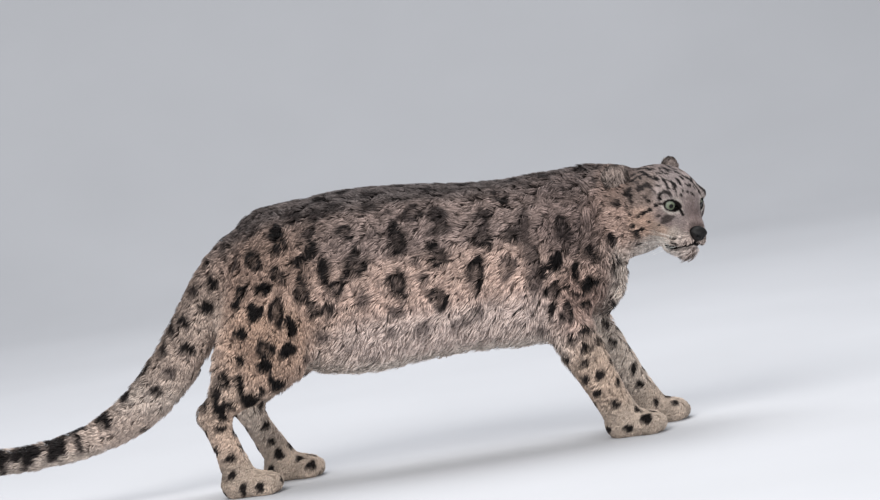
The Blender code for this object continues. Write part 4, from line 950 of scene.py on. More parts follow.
def lid_outline(steps):
    """The opening between the lids as Y, Z points: outward is the outer corner, which sits higher."""
    points = []
    for step in range(steps):
        angle = 2 * math.pi * step / steps
        y, z = math.cos(angle), math.sin(angle)
        inner = max(0.0, -y) ** 3
        height = LID_ABOVE if z > 0 else LID_BELOW
        points.append((
            y * (LID_HALF_WIDTH + inner * TEAR_CORNER),
            z * height * (1 - 0.55 * inner) + 0.0018 * y - 0.0012 * inner,
        ))
    return points


def on_ball(y, z, radius):
    """The point of a ball's front at this Y and Z, held before its edge."""
    flat = math.hypot(y, z)
    return Vector((math.sqrt(max(radius**2 - flat**2, (0.42 * radius) ** 2)), y, z))


def lid_opening(side):
    """A prism that opens the face over the eye."""
    outline = lid_outline(18)
    rings = [[Vector((x, y, z)) for y, z in outline] for x in (0.003, 0.040)]
    mesh = loft(rings)
    mesh.transform(eye_frame(side))
    face_outward(mesh)
    return mesh


def groove(points, surface, radius):
    """A thin round tube laid on the surface along these points of the head's frame."""
    matrix = head_matrix()
    centres = []
    for point in smooth_rows(points, 2):
        place = surface.find_nearest(matrix @ Vector(point))[0]
        centres.append(place)
    rings = []
    for centre, along in zip(centres, headings(centres)):
        side = along.cross(Vector((0, 0, 1))).normalized()
        up = side.cross(along)
        angles = [math.pi * k / 3 for k in range(6)]
        rings.append([centre + (side * math.cos(a) + up * math.sin(a)) * radius for a in angles])
    return loft(rings)


# Skin and coat

def local_to(matrix, points):
    """Places in the frame that the matrix leads out of."""
    inverse = np.array(matrix.inverted())
    return points @ inverse[:3, :3].T + inverse[:3, 3]


def head_local(points):
    """Places in the head's own frame."""
    return local_to(head_matrix(), points)


def head_share(points):
    """1 on the head, 0 on the trunk, and between the two where they meet."""
    away = np.linalg.norm(points - np.array(HEAD_PLACE), axis=1)
    return smooth_step(away, 0.150, 0.105)


def smooth_step(values, none, full):
    """0 at none, 1 at full, eased at both ends, for an array."""
    share = np.clip((values - none) / (full - none), 0.0, 1.0)
    return share * share * (3.0 - 2.0 * share)


def blended(points, zones, power=2.0):
    """The zones' values at each point, the nearest zone counting most. Zones stand for both sides."""
    total = 0.0
    weights = 0.0
    for place, reach, values in zones:
        gap = points - np.array(place)
        gap[:, 1] = np.abs(points[:, 1]) - place[1]
        far = ((gap / np.array(reach)) ** 2).sum(axis=1)
        weight = 1.0 / (0.04 + far) ** power
        total = total + weight[:, None] * np.array(values)
        weights = weights + weight
    return total / weights[:, None]


def head_zones(table, reach=HEAD_REACH):
    return [(place, (reach,) * 3, values) for place, values in table]


def coat_sizes(points):
    """Depth, tuft length, half width and tufts to a square centimetre at each point."""
    trunk = blended(points, COAT_ZONES)
    head = blended(head_local(points), head_zones(HEAD_COAT))
    share = head_share(points)[:, None]
    return trunk * (1 - share) + head * share


def lies(points, normals):
    """The way the coat lies at each point, along the surface, as unit vectors."""
    trunk = combed(points, COMBING, 0.7)
    rotation = np.array(head_matrix())[:3, :3]
    head = combed(head_local(points), HEAD_COMBING, 1.0) @ rotation.T
    share = head_share(points)[:, None]
    ways = trunk * (1 - share) + head * share
    ways -= normals * (ways * normals).sum(axis=1)[:, None]
    return unit(ways)


def combed(points, table, sideways):
    total = np.zeros_like(points)
    for place, way in table:
        gap = points - np.array(place)
        gap[:, 1] = (np.abs(points[:, 1]) - place[1]) * sideways
        weight = ((gap**2).sum(axis=1) + 0.0004) ** -1.5
        way = np.array(way) / np.linalg.norm(way)
        ways = np.tile(way, (len(points), 1))
        ways[:, 1] *= np.sign(points[:, 1] + 1e-9)
        total += ways * weight[:, None]
    return unit(total)


def unit(vectors):
    return vectors / np.maximum(np.linalg.norm(vectors, axis=1), 1e-9)[:, None]


def ripple(points, size, seed):
    """Smooth irregular waves over space, from about -1 to 1, of this wavelength."""
    draw = np.random.default_rng(seed)
    total = np.zeros(len(points))
    for _ in range(10):
        way = draw.normal(size=3)
        way *= 2 * math.pi / (size * draw.uniform(0.7, 1.5) * np.linalg.norm(way))
        total += np.sin(points @ way + draw.uniform(0, 2 * math.pi))
    return total / 3.2


def read_threes(items, key, kind):
    """One property of every item, three numbers each."""
    values = np.empty(len(items) * 3, kind)
    items.foreach_get(key, values)
    return values.reshape(-1, 3)


class Surface:
    """A mesh as arrays, with a tree for the nearest place on it."""

    def __init__(self, mesh):
        mesh.calc_loop_triangles()
        self.points = read_threes(mesh.vertices, "co", float)
        self.normals = read_threes(mesh.vertex_normals, "vector", np.float32).astype(float)
        self.triangles = read_threes(mesh.loop_triangles, "vertices", np.int32)
        self.tree = BVHTree.FromPolygons(self.points.tolist(), self.triangles.tolist())

    def nearest(self, places):
        """For each place the nearest one on the mesh, and the smooth normal there."""
        found = np.empty_like(places)
        faces = np.zeros(len(places), np.int64)
        find = self.tree.find_nearest
        for i, place in enumerate(places.tolist()):
            near, _, face, _ = find(place)
            found[i] = near
            faces[i] = face
        normals = unit(self.normals[self.triangles[faces]].sum(axis=1))
        return found, normals

    def scattered(self, density, draw):
        """Random places on the mesh, as many to a square centimetre as density says, and their normals."""
        corners = self.points[self.triangles]
        spans = np.cross(corners[:, 1] - corners[:, 0], corners[:, 2] - corners[:, 0])
        areas = np.linalg.norm(spans, axis=1) / 2
        expected = areas * 1e4 * density(corners.mean(axis=1))
        counts = np.floor(expected + draw.random(len(expected))).astype(int)
        faces = np.repeat(np.arange(len(counts)), counts)
        first, second = draw.random((2, len(faces)))
        folded = first + second > 1
        first[folded], second[folded] = 1 - first[folded], 1 - second[folded]
        shares = np.stack([1 - first - second, first, second], axis=1)[:, :, None]
        places = (corners[faces] * shares).sum(axis=1)
        normals = unit((self.normals[self.triangles[faces]] * shares).sum(axis=1))
        return places, normals


# Markings

def rotated(ways, normals, angles):
    """Each way turned about its normal."""
    return ways * np.cos(angles)[:, None] + np.cross(normals, ways) * np.sin(angles)[:, None]


def flesh_names():
    """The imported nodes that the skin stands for."""
    return [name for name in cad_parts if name.split("_")[0] not in ("eye", "ear", "nose")]


def packed_flesh():
    """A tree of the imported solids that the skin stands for, in the tables' frame."""
    points = []
    faces = []
    for name in flesh_names():
        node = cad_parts[name]
        first = len(points)
        points += [node.matrix_world @ vertex.co - BOX_SHIFT for vertex in node.data.vertices]
        faces += [[first + i for i in face.vertices] for face in node.data.polygons]
    return BVHTree.FromPolygons(points, faces)


def seen_at(solids, across, down):
    """The place on the solids that the photo shows at this pixel."""
    right, up, back = view_axes()
    aside = right * (across - PHOTO_MIDDLE[0]) - up * (down - PHOTO_MIDDLE[1])
    way = (aside * PIXEL - back * CAMERA_DISTANCE).normalized()
    return solids.ray_cast(PHOTO_AIM + back * CAMERA_DISTANCE, way)[0]


def marks_seen(solids, draw):
    """The body's markings that the photo shows, and the painted shade behind the shoulder, to the
    millimetre, and their copies on the far side.
    """
    rows = []
    for across, down, wide, high, tilt, kind, dark in MARKS:
        x, y, z = (round(value, 3) for value in seen_at(solids, across, down))
        rows.append((x, y, z, wide, high, tilt, kind, dark))
        if draw.random() < FAR_COPY_CHANCE:
            stray = draw.normal(size=2) * FAR_COPY_STRAY
            grow = draw.uniform(*FAR_COPY_SIZES, 2)
            place = (x + FAR_COPY_SHIFT + stray[0], 2 * tail_middle(x) - y, z + stray[1])
            turn = draw.uniform(-FAR_COPY_TILT, FAR_COPY_TILT)
            rows.append((*place, wide * grow[0], high * grow[1], turn - tilt, kind, dark))
    return rows


def filled_in(rows, surface, draw):
    """More markings where FILL_SPOTS says, clear of one another and of those in the rows."""
    taken = [np.array(row[:3]) for row in rows]
    places, _ = surface.scattered(lambda centres: np.full(len(centres), FILL_DENSITY), draw)
    draw.shuffle(places)
    made = []
    for place in places:
        zone = fill_zone(place)
        if zone is None:
            continue
        spacing, size, kind, dark = zone
        nearest = min(np.linalg.norm(place - other) for other in taken)
        if nearest < spacing * draw.uniform(0.9, 1.25):
            continue
        taken.append(place)
        wide, high = size * draw.uniform(0.75, 1.25, 2)
        tilt = draw.uniform(-30, 30)
        made.append((*place, wide, high * 1.15, tilt, kind, dark * draw.uniform(0.85, 1)))
    return made


def fill_zone(place):
    """The spacing, size, kind and darkness of the markings to fill in here, or None."""
    x, y, z = place
    for _, lowest, highest, *facts in FILL_SPOTS:
        if all(low <= value <= high for low, value, high in zip(lowest, (x, abs(y), z), highest)):
            return facts
    return None


def head_marks(solids):
    """The head's markings and the painted shade under the eyes, those away from its middle on both sides.
    """
    matrix = head_matrix()
    back = matrix.inverted()
    local = []
    for across, down, *facts in HEAD_MARKS:
        pixel = (HEAD_CROP[0] + across / HEAD_CROP_SCALE, HEAD_CROP[1] + down / HEAD_CROP_SCALE)
        local.append((back @ seen_at(solids, *pixel), *facts))
    for place, wide, high, dark in WHISKER_DOTS:
        local.append((Vector(place), wide, high, 0, SOLID, dark))
    rows = []
    for (x, y, z), wide, high, tilt, kind, dark in local:
        for side in (LEFT, RIGHT) if abs(y) > PAIRED_FROM else (LEFT,):
            rows.append((*(matrix @ Vector((x, side * y, z))), wide, high, side * tilt, kind, dark))
    return rows


def placed_spots(surface):
    """Every dark marking, with the painted shade behind the shoulder and under the eyes, as its middle,
    axes, half sizes, kind, darkness and uneven edge.
    """
    draw = np.random.default_rng(SEED + 1)
    solids = packed_flesh()
    rows = marks_seen(solids, draw)
    rows += filled_in(rows, surface, draw)
    rows += head_marks(solids)
    middles, normals = surface.nearest(np.array([row[:3] for row in rows]))
    ahead = np.tile((1.0, 0.0, 0.0), (len(rows), 1))
    ahead = unit(ahead - normals * (ahead * normals).sum(axis=1)[:, None])
    ahead = rotated(ahead, normals, np.radians([row[5] for row in rows]))
    spots = []
    for row, middle, normal, way in zip(rows, middles, normals, ahead):
        wide, high, _, kind, dark = row[3:]
        phases = draw.uniform(0, 2 * math.pi, 3)
        spots.append((middle, normal, way, np.cross(normal, way), wide, high, kind, dark, phases))
    return spots


def tail_middle(x):
    """How far to its left the tail's middle lies at this x, 0 on the trunk."""
    xs = [row[0] for row in reversed(TAIL)]
    ys = [row[1] for row in reversed(TAIL)]
    return float(np.interp(x, xs, ys))


def spot_cover(points, normals, spots):
    """How far the markings darken each point, 0 to 1, and how much of a rosette's middle it is."""
    cover = np.zeros(len(points))
    middle = np.zeros(len(points))
    order = np.argsort(points[:, 0])
    sorted_x = points[order, 0]
    for centre, facing, across, along, wide, high, kind, dark, phases in spots:
        reach = 1.6 * max(wide, high)
        first, last = np.searchsorted(sorted_x, (centre[0] - reach, centre[0] + reach))
        near = order[first:last]
        near = near[(np.abs(points[near] - centre) < reach).all(axis=1)]
        if not len(near):
            continue
        gap = points[near] - centre
        near_enough = (normals[near] @ facing > 0.1)
        u, v = gap @ across / wide, gap @ along / high
        angle = np.arctan2(v, u)
        uneven = np.zeros(len(near))
        for (turns, amount), phase in zip(SPOT_UNEVEN, phases):
            uneven += amount * np.sin(turns * angle + phase)
        away = np.hypot(u, v) * (1 + uneven)
        amount = smooth_step(away, 1.16, 0.90)
        if kind == RING:
            inner = smooth_step(away, 0.66, 0.42)
            gaps = np.sin(3 * angle + phases[1]) + 0.5 * np.sin(2 * angle + phases[2])
            breaks = smooth_step(gaps, 0.75, 1.25)
            middle[near] = np.maximum(middle[near], inner * near_enough)
            amount = amount * (1 - RING_OPEN * inner) * (1 - RING_BROKEN * breaks * (1 - inner))
        cover[near] = np.maximum(cover[near], amount * dark**SPOT_CONTRAST * near_enough)
    return cover, middle


def colours_at(points, normals, spots, mouth):
    """The coat's colour at each point."""
    trunk = blended(points, COLOUR_ZONES, 2.5)
    local = head_local(points)
    head = blended(local, head_zones(HEAD_COLOURS), 2.5)
    share = head_share(points)[:, None]
    colour = trunk * (1 - share) + head * share
    colour *= (1 + 0.10 * ripple(points, 0.060, 1) + 0.06 * ripple(points, 0.015, 2))[:, None]
    streaks = ripple(points * np.array((0.28, 1.0, 1.0)), 0.022, 3)
    top = smooth_step(normals[:, 2], 0.15, 0.75) * smooth_step(points[:, 2], 0.44, 0.52) * (1 - share[:, 0])
    colour *= (1 - 0.45 * top * smooth_step(streaks, 0.0, 0.9))[:, None]
    upper = smooth_step(normals[:, 2], -0.1, 0.75) * smooth_step(points[:, 0], -0.19, -0.24)
    fade = 0.25 + 0.75 * smooth_step(points[:, 0], -0.48, -0.30)
    colour *= (1 - 0.62 * upper * fade)[:, None]
    flecks = ripple(local * np.array(FLECK_STRETCH), FLECK_SIZE, 5)
    crown = smooth_step(local[:, 2], 0.034, 0.050) * smooth_step(local[:, 0], 0.096, 0.084) * share[:, 0]
    flecks = smooth_step(flecks, 0.30, 0.62) * crown * FLECK_DARK
    bars = tail_bars(points, normals)
    cover, middle = spot_cover(points, normals, spots)
    cover = np.maximum(cover, bars)
    colour = colour * (1 - 0.50 * middle)[:, None]
    pale, rims = eye_surround(points)
    colour = colour * (1 - pale)[:, None] + np.array(EYE_PALE) * pale[:, None]
    cover = np.maximum(cover, rims)
    cover = np.maximum(np.minimum(1.0, cover * 1.15), flecks)[:, None]
    colour = colour ** (1 - cover) * np.array(SPOT_COLOUR) ** cover
    lips = lip_share(points, mouth)[:, None]
    return colour * (1 - lips) + np.array(LIP_COLOUR) * lips


def eye_surround(points):
    """How far each point is in the pale patch under an eye, and in the eye's dark rim."""
    pale = np.zeros(len(points))
    rims = np.zeros(len(points))
    for side in (LEFT, RIGHT):
        local = local_to(eye_frame(side), points)
        front = smooth_step(local[:, 0], -0.004, 0.002)
        y, z = local[:, 1], local[:, 2]
        away = lid_distance(y, z)
        upper = smooth_step(z, -0.002, 0.003)
        rims = np.maximum(rims, front * smooth_step(away, 0.0022 + 0.0020 * upper, 0.0010 + 0.0016 * upper))
        for start, end, width in EYE_STREAKS:
            streak = segment_distance(y, z, start, end)
            rims = np.maximum(rims, front * smooth_step(streak, width * 1.3, width * 0.7))
        beneath = smooth_step(z, 0.000, -0.003) * smooth_step(away, 0.0080, 0.0045)
        above = smooth_step(z, 0.004, 0.008) * smooth_step(away, 0.0110, 0.0060) * 0.6
        pale = np.maximum(pale, front * np.maximum(beneath, above))
    return pale, rims


def lid_distance(y, z):
    """Roughly how far a place in the eye's frame lies outside the opening between the lids."""
    wide = LID_HALF_WIDTH + np.where(y < 0, TEAR_CORNER * 0.6, 0.0)
    high = np.where(z > 0, LID_ABOVE, LID_BELOW)
    angle_share = np.hypot(y / wide, z / high)
    return np.hypot(y, z) * (1 - 1 / np.maximum(angle_share, 1e-6))


def segment_distance(y, z, start, end):
    """How far places lie from a straight line between two points of the eye's frame."""
    run = (end[0] - start[0], end[1] - start[1])
    share = ((y - start[0]) * run[0] + (z - start[1]) * run[1]) / (run[0] ** 2 + run[1] ** 2)
    share = np.clip(share, 0, 1)
    return np.hypot(y - start[0] - share * run[0], z - start[1] - share * run[1])


def mouth_on(surface):
    """The left half of the mouth line laid on the skin, in the head's own frame."""
    matrix = head_matrix()
    back = matrix.inverted()
    line = []
    for row in smooth_rows(MOUTH_LINE, 6):
        line.append(back @ surface.find_nearest(matrix @ Vector(row))[0])
    return np.array(line)


def mouth_gap(points, line):
    """How far each point lies from the mouth line, and True where it lies beneath."""
    local = head_local(points)
    local[:, 1] = np.abs(local[:, 1])
    gap = np.full(len(points), 9.0)
    beneath = np.zeros(len(points), bool)
    near = np.nonzero(np.linalg.norm(local - np.array(MOUTH_LINE[2]), axis=1) < 0.075)[0]
    away = np.linalg.norm(local[near][:, None, :] - line[None], axis=2)
    closest = away.argmin(axis=1)
    gap[near] = away.min(axis=1)
    beneath[near] = local[near, 2] < line[closest, 2]
    return gap, beneath


def lip_share(points, mouth):
    """How far each point is on the black skin of the lips."""
    gap, beneath = mouth_gap(points, mouth)
    return np.where(beneath, smooth_step(gap, 0.0102, 0.0086), smooth_step(gap, 0.0024, 0.0012))


def tail_bars(points, normals):
    """The dark rings towards the tail's tip, open beneath."""
    rings = np.zeros(len(points))
    xs = points[:, 0] + 0.25 * (points[:, 1] - 0.08)
    wobble = 0.006 * ripple(points, 0.05, 5)
    for x, half, strength in TAIL_RINGS:
        rings = np.maximum(rings, strength * smooth_step(np.abs(xs + wobble - x), half * 1.25, half * 0.75))
    beneath = smooth_step(normals[:, 2], -0.75, -0.25)
    tip = smooth_step(points[:, 0], -0.790, -0.806)
    return np.maximum(rings * beneath, 0.9 * tip) * smooth_step(points[:, 0], -0.27, -0.31)


# Building the pieces

def mesh_of(name, points, faces, corners):
    """A mesh from arrays, all faces with the same number of corners."""
    mesh = bpy.data.meshes.new(name)
    mesh.vertices.add(len(points))
    mesh.vertices.foreach_set("co", points.astype(np.float32).ravel())
    mesh.loops.add(len(faces) * corners)
    mesh.loops.foreach_set("vertex_index", faces.astype(np.int32).ravel())
    mesh.polygons.add(len(faces))
    mesh.polygons.foreach_set("loop_start", np.arange(len(faces), dtype=np.int32) * corners)
    mesh.update(calc_edges=True)
    mesh.polygons.foreach_set("use_smooth", np.ones(len(faces), bool))
    return mesh


def tint(mesh, colours):
    """Sets the colour of each vertex."""
    layer = mesh.attributes.new("Tint", "FLOAT_COLOR", "POINT")
    values = np.ones((len(colours), 4), np.float32)
    values[:, :3] = np.clip(colours, 0, 1)
    layer.data.foreach_set("color", values.ravel())


def shown(mesh, name, material):
    """The mesh as an object of the model, moved to the model's frame."""
    mesh.transform(Matrix.Translation(BOX_SHIFT))
    made = linked(name, mesh)
    mesh.materials.clear()
    mesh.materials.append(material)
    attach(made, "root")
    return made


def made_skin():
    """The skin under the coat: the forms of the body drawn in by the coat's depth, with open eyes."""
    body = whole_body()
    mesh = bmesh.new()
    mesh.from_mesh(body.data)
    for middle, reach in ((HEAD_PLACE, HEAD_FINE_REACH), (head_matrix() @ MUZZLE, MUZZLE_FINE_REACH)):
        near = [face for face in mesh.faces if (face.calc_center_median() - middle).length < reach]
        edges = list(dict.fromkeys(edge for face in near for edge in face.edges))
        bmesh.ops.subdivide_edges(mesh, edges=edges, cuts=1, use_grid_fill=True)
    head = [vertex for vertex in mesh.verts if (vertex.co - HEAD_PLACE).length < HEAD_FINE_REACH]
    axes = {"use_axis_x": True, "use_axis_y": True, "use_axis_z": True}
    for _ in range(HEAD_SMOOTHING):
        bmesh.ops.smooth_vert(mesh, verts=head, factor=0.5, **axes)
    bmesh.ops.triangulate(mesh, faces=mesh.faces)
    mesh.normal_update()
    points = np.array([vertex.co for vertex in mesh.verts])
    normals = np.array([vertex.normal for vertex in mesh.verts])
    points -= normals * coat_sizes(points)[:, :1]
    points[:, 2] = np.maximum(points[:, 2], FLOOR_CLEARANCE)
    for vertex, point in zip(mesh.verts, points):
        vertex.co = point
    mesh.to_mesh(body.data)
    mesh.free()
    for side in (LEFT, RIGHT):
        cut(body, lid_opening(side))
        cut(body, eyeball_form(side))
    surface = BVHTree.FromObject(body, bpy.context.evaluated_depsgraph_get())
    mouth = mouth_on(surface)
    for side in (LEFT, RIGHT):
        cut(body, groove([(x, side * y, z) for x, y, z in MOUTH_LINE], surface, LIP_GROOVE))
    body.data = settled(body.data)
    return body, mouth


def settled(mesh):
    """The mesh with its faces in a fixed order, as a boolean leaves them in another one each run."""
    rows = []
    for face in mesh.polygons:
        corners = list(face.vertices)
        start = corners.index(min(corners))
        rows.append(corners[start:] + corners[:start])
    made = bpy.data.meshes.new("skin")
    made.from_pydata([vertex.co for vertex in mesh.vertices], [], sorted(rows))
    return made


def cut(body, mesh):
    """Takes the closed mesh out of the body."""
    cutter = linked("cutter", mesh_from(mesh, "cutter"))
    modifier = body.modifiers.new("Boolean", "BOOLEAN")
    modifier.operation = "DIFFERENCE"
    modifier.solver = "MANIFOLD"
    modifier.object = cutter
    apply_modifiers(body)
    bpy.data.objects.remove(cutter)


def eyeball_form(side):
    """The hollow that an eye sits in."""
    mesh = ball((0, 0, 0), (EYE_RADIUS + EYE_CLEARANCE,) * 3, 40)
    mesh.transform(eye_frame(side))
    face_outward(mesh)
    return mesh


def in_openings(points, mouth):
    """True where a point lies in an eye's opening or on the nose pad, where no hair grows."""
    hidden = np.zeros(len(points), bool)
    for side in (LEFT, RIGHT):
        local = local_to(eye_frame(side), points)
        wide = np.where(local[:, 1] < 0, LID_HALF_WIDTH + TEAR_CORNER * 0.8, LID_HALF_WIDTH) + LID_BARE
        high = (LID_ABOVE + LID_BELOW) / 2 + LID_BARE
        in_front = local[:, 0] > 0
        hidden |= in_front & ((local[:, 1] / wide) ** 2 + (local[:, 2] / high) ** 2 < 1)
    centre, radii = NOSE_PAD
    local = head_local(points)
    local = (local - np.array(centre)) / np.array(radii)
    local[:, 1] /= 1 - 0.42 * smooth_step(-local[:, 2], -0.3, 1.0)
    near = (local**2).sum(axis=1) < 0.84
    gap, beneath = mouth_gap(points, mouth)
    return hidden | near | (gap < np.where(beneath, 0.0088, 0.0024))


# Coat

def grown(surface, density, draw, way_at, sizes_at, mouth=None):
    """Tufts over a surface as arrays of stations, each from its root to its tip.

    With a mouth line, none grow in the face's openings, and they are shorter near the lips.
    """
    roots, normals = surface.scattered(density, draw)
    if mouth is not None:
        keep = ~in_openings(roots, mouth)
        roots, normals = roots[keep], normals[keep]
    sizes = sizes_at(roots)
    if mouth is not None:
        sizes[:, 1] *= 0.32 + 0.68 * smooth_step(mouth_gap(roots, mouth)[0], 0.004, 0.015)
    count = len(roots)
    leaders = np.nonzero(draw.random(count) < CLUMPS)[0]
    tree = KDTree(len(leaders))
    for k, i in enumerate(leaders):
        tree.insert(roots[i], k)
    tree.balance()
    group = np.array([tree.find(root)[1] for root in roots.tolist()])
    long_hair = smooth_step(sizes[:, 1], 0.010, 0.026)
    streaks = streaks_at(roots)
    clump_sway = 0.08 + 0.10 * long_hair + 0.35 * streaks * long_hair
    sway = draw.normal(size=len(leaders))[group] * clump_sway
    sway = sway + draw.normal(size=count) * 0.12
    lengths = sizes[:, 1] * draw.uniform(0.85, 1.15, len(leaders))[group]
    lengths *= draw.uniform(0.75, 1.15, count)
    rise = draw.uniform(0.78, 1.16, len(leaders))[group] * draw.uniform(0.72, 1.08, count)
    leader_shade = draw.uniform(0.90, 1.08, len(leaders))[group]
    tones_and_painted_shades = leader_shade * draw.uniform(0.84, 1.10, count)
    tones_and_painted_shades *= 1 - streaks * draw.random(count) ** 2
    tones_and_painted_shades *= 1 - 0.6 * streaks * draw.random(len(leaders))[group] ** 2
    ways = rotated(way_at(roots, normals), normals, sway)
    ahead = roots + ways * (lengths * 0.5)[:, None]
    middles, middle_normals = surface.nearest(ahead)
    middles = freed(middles, ahead, middle_normals, 0.4)
    ways = rotated(way_at(middles, middle_normals), middle_normals, sway * 1.2)
    ahead = middles + ways * (lengths * 0.5)[:, None]
    tips, tip_normals = surface.nearest(ahead)
    tips = freed(tips, ahead, tip_normals, 0.8)
    depths = sizes[:, 0] * rise
    leader = leaders[group]
    pull = (0.42 * long_hair)[:, None]
    tips = tips * (1 - pull) + (tips[leader] + (roots - roots[leader]) * 0.25) * pull
    depths_at_tip = depths * (1 - 0.3 * pull[:, 0]) + depths[leader] * 0.3 * pull[:, 0]
    over_root, over_tip = unit(normals + middle_normals), unit(middle_normals + tip_normals)
    return {
        "root": roots - normals * ROOT_DEPTH,
        "low": roots * 0.35 + middles * 0.65 + over_root * (depths * 0.62)[:, None],
        "high": middles * 0.55 + tips * 0.45 + over_tip * (depths * 0.98)[:, None],
        "tip": tips + tip_normals * (depths_at_tip * 0.96)[:, None],
        "normal": normals,
        "middle": middles,
        "middle_normal": middle_normals,
        "width": sizes[:, 2] * draw.uniform(0.8, 1.2, count),
        "tip_place": tips,
        "tip_normal": tip_normals,
        "length": lengths,
        "shade": tones_and_painted_shades,
        "from": roots,
    }


def streaks_at(points):
    """How unevenly dark the tufts are: most on the back, the neck and the shoulder."""
    x, _, z = points.T
    high = smooth_step(z, 0.36, 0.50)
    fore = smooth_step(x, 0.42, 0.54) * smooth_step(z, 0.22, 0.30)
    return (0.16 + np.maximum(0.50 * high, 0.68 * fore)) * (1 - 0.55 * head_share(points))


def freed(near, ahead, normals, most):
    """Lets hair hang clear of the surface where that faces down."""
    free = (np.clip(-normals[:, 2], 0, 1) * most)[:, None]
    return near * (1 - free) + ahead * free


def tuft_mesh(name, tufts, chosen, colours, places_on_map):
    """Joined tufts: each a three-sided blade that tapers to its root and tip. Long ones bend twice."""
    lasting = tufts["length"][chosen] > LONG_TUFT
    parts = [blades(tufts, chosen[~lasting], colours, places_on_map, False),
             blades(tufts, chosen[lasting], colours, places_on_map, True)]
    first = len(parts[0][0])
    points, tints, patches = (np.concatenate([part[i] for part in parts]) for i in (0, 1, 2))
    faces = np.concatenate([parts[0][3], parts[1][3] + first])
    mesh = mesh_of(name, points, faces, 3)
    tint(mesh, tints)
    layer = mesh.uv_layers.new(name="OFBake")
    layer.data.foreach_set("uv", np.clip(patches[faces.ravel()], 0, 1).astype(np.float32).ravel())
    return mesh


def blades(tufts, chosen, colours, places_on_map, bent_twice):
    """Points, colours, map places and faces of the chosen tufts."""
    part = {key: values[chosen] for key, values in tufts.items()}
    pattern = TWICE_BENT if bent_twice else ONCE_BENT
    along = unit(part["high"] - part["low"])
    across = unit(np.cross(along, part["middle_normal"]))
    over = np.cross(across, along)
    width = part["width"][:, None]
    if bent_twice:
        rings = ((part["low"], 1.0), (part["high"], 0.82))
    else:
        rings = ((part["low"] * 0.55 + part["high"] * 0.45, 1.0),)
    stations = [part["root"][:, None, :]]
    for place, breadth in rings:
        stations.append(np.stack([
            place - across * width * breadth,
            place + over * width * breadth * TUFT_THICKNESS,
            place + across * width * breadth,
        ], axis=1))
    stations.append(part["tip"][:, None, :])
    points = np.concatenate(stations, axis=1)
    points[:, :, 2] = np.maximum(points[:, :, 2], FLOOR_CLEARANCE)
    corners = points.shape[1]
    first = np.arange(len(chosen))[:, None, None] * corners
    faces = (first + np.array(pattern["faces"])[None]).reshape(-1, 3)
    # The darkening at the root, partly grey underfur and partly painted shade under the other tufts, is
    # full on long tufts and weaker on short ones
    rooty = np.clip(part["length"] / 0.022, 0.35, 1.0)[:, None, None]
    tones_and_painted_shades = np.array(pattern["tones_and_painted_shades"])[None, :, None]
    shade = part["shade"][:, None, None] * (1 - (1 - tones_and_painted_shades) * rooty)
    tip_share = np.array(pattern["tip_shares"])[None, :, None]
    middle, tip = (each[chosen][:, None, :] for each in colours)
    tints = ((middle * (1 - tip_share) + tip * tip_share) * shade).reshape(-1, 3)
    patches = (places_on_map[chosen][:, None, :] + np.array(pattern["patch"])[None]).reshape(-1, 2)
    return points.reshape(-1, 3), tints, patches, faces


def region_of(points):
    """Which coat piece a place belongs to, as an index of REGIONS."""
    x, y, z = points.T
    left = (y > 0).astype(int)
    region = REGIONS.index
    low = z < LEG_TOP
    tail = (x < TAIL_FROM) | ((x < TAIL_ROOT_FROM) & (z > 0.27) & (np.abs(y) < 0.06))
    result = np.where(x > SIDE_FROM, region("side_right") + left, region("waist_right") + left)
    result = np.where(x > SHOULDER_FROM, region("shoulder_right") + left, result)
    result = np.where(x > NECK_FROM, region("neck"), result)
    result = np.where(x < RUMP_FROM, region("rump_right") + left, result)
    result = np.where(low & (x < 0.02), region("hind_legs"), result)
    result = np.where(low & (x > SHOULDER_FROM), region("forelegs"), result)
    result = np.where(tail, region("tail"), result)
    away = np.linalg.norm(points - np.array(HEAD_PLACE), axis=1)
    return np.where(away < HEAD_RADIUS, region("head"), result)


def map_places(skin, roots):
    """Each root's place on an unwrap of a coarser copy of the skin, unwrapped region by region."""
    coarse = linked("coarse", skin.data.copy())
    modifier = coarse.modifiers.new("Decimate", "DECIMATE")
    modifier.ratio = COARSE_TRIANGLES / len(coarse.data.polygons)
    modifier.use_collapse_triangulate = True
    apply_modifiers(coarse)
    mesh = coarse.data
    corners = np.array([vertex.co for vertex in mesh.vertices])
    triangles = np.array([face.vertices[:3] for face in mesh.polygons])
    bpy.data.objects.remove(coarse)
    face_region = region_of(corners[triangles].mean(axis=1))
    root_region = region_of(roots)
    places = np.zeros((len(roots), 2))
    for region in range(len(REGIONS)):
        chosen = np.nonzero(root_region == region)[0]
        faces = triangles[face_region == region]
        if not len(chosen) or not len(faces):
            continue
        places[chosen] = unwrapped(corners, faces, roots[chosen])
    return places, root_region


def unwrapped(corners, faces, roots):
    """Each root's place on an unwrap of these triangles."""
    part = linked("unwrap", mesh_of("unwrap", corners, faces, 3))
    part.data.uv_layers.new(name="OFBake")
    bpy.context.view_layer.objects.active = part
    part.select_set(True)
    bpy.ops.object.mode_set(mode="EDIT")
    bpy.ops.mesh.select_all(action="SELECT")
    bpy.ops.uv.smart_project(angle_limit=math.radians(66), island_margin=0.004)
    bpy.ops.object.mode_set(mode="OBJECT")
    uvs = np.empty(len(part.data.loops) * 2, np.float32)
    part.data.uv_layers[0].data.foreach_get("uv", uvs)
    uvs = uvs.reshape(-1, 3, 2)
    bpy.data.objects.remove(part)
    tree = BVHTree.FromPolygons(corners.tolist(), faces.tolist())
    near = np.empty((len(roots), 3))
    found = np.empty(len(roots), np.int64)
    for k, root in enumerate(roots.tolist()):
        near[k], _, found[k], _ = tree.find_nearest(root)
    shares = triangle_shares(near, corners[faces[found]])
    return (uvs[found] * shares[:, :, None]).sum(axis=1)


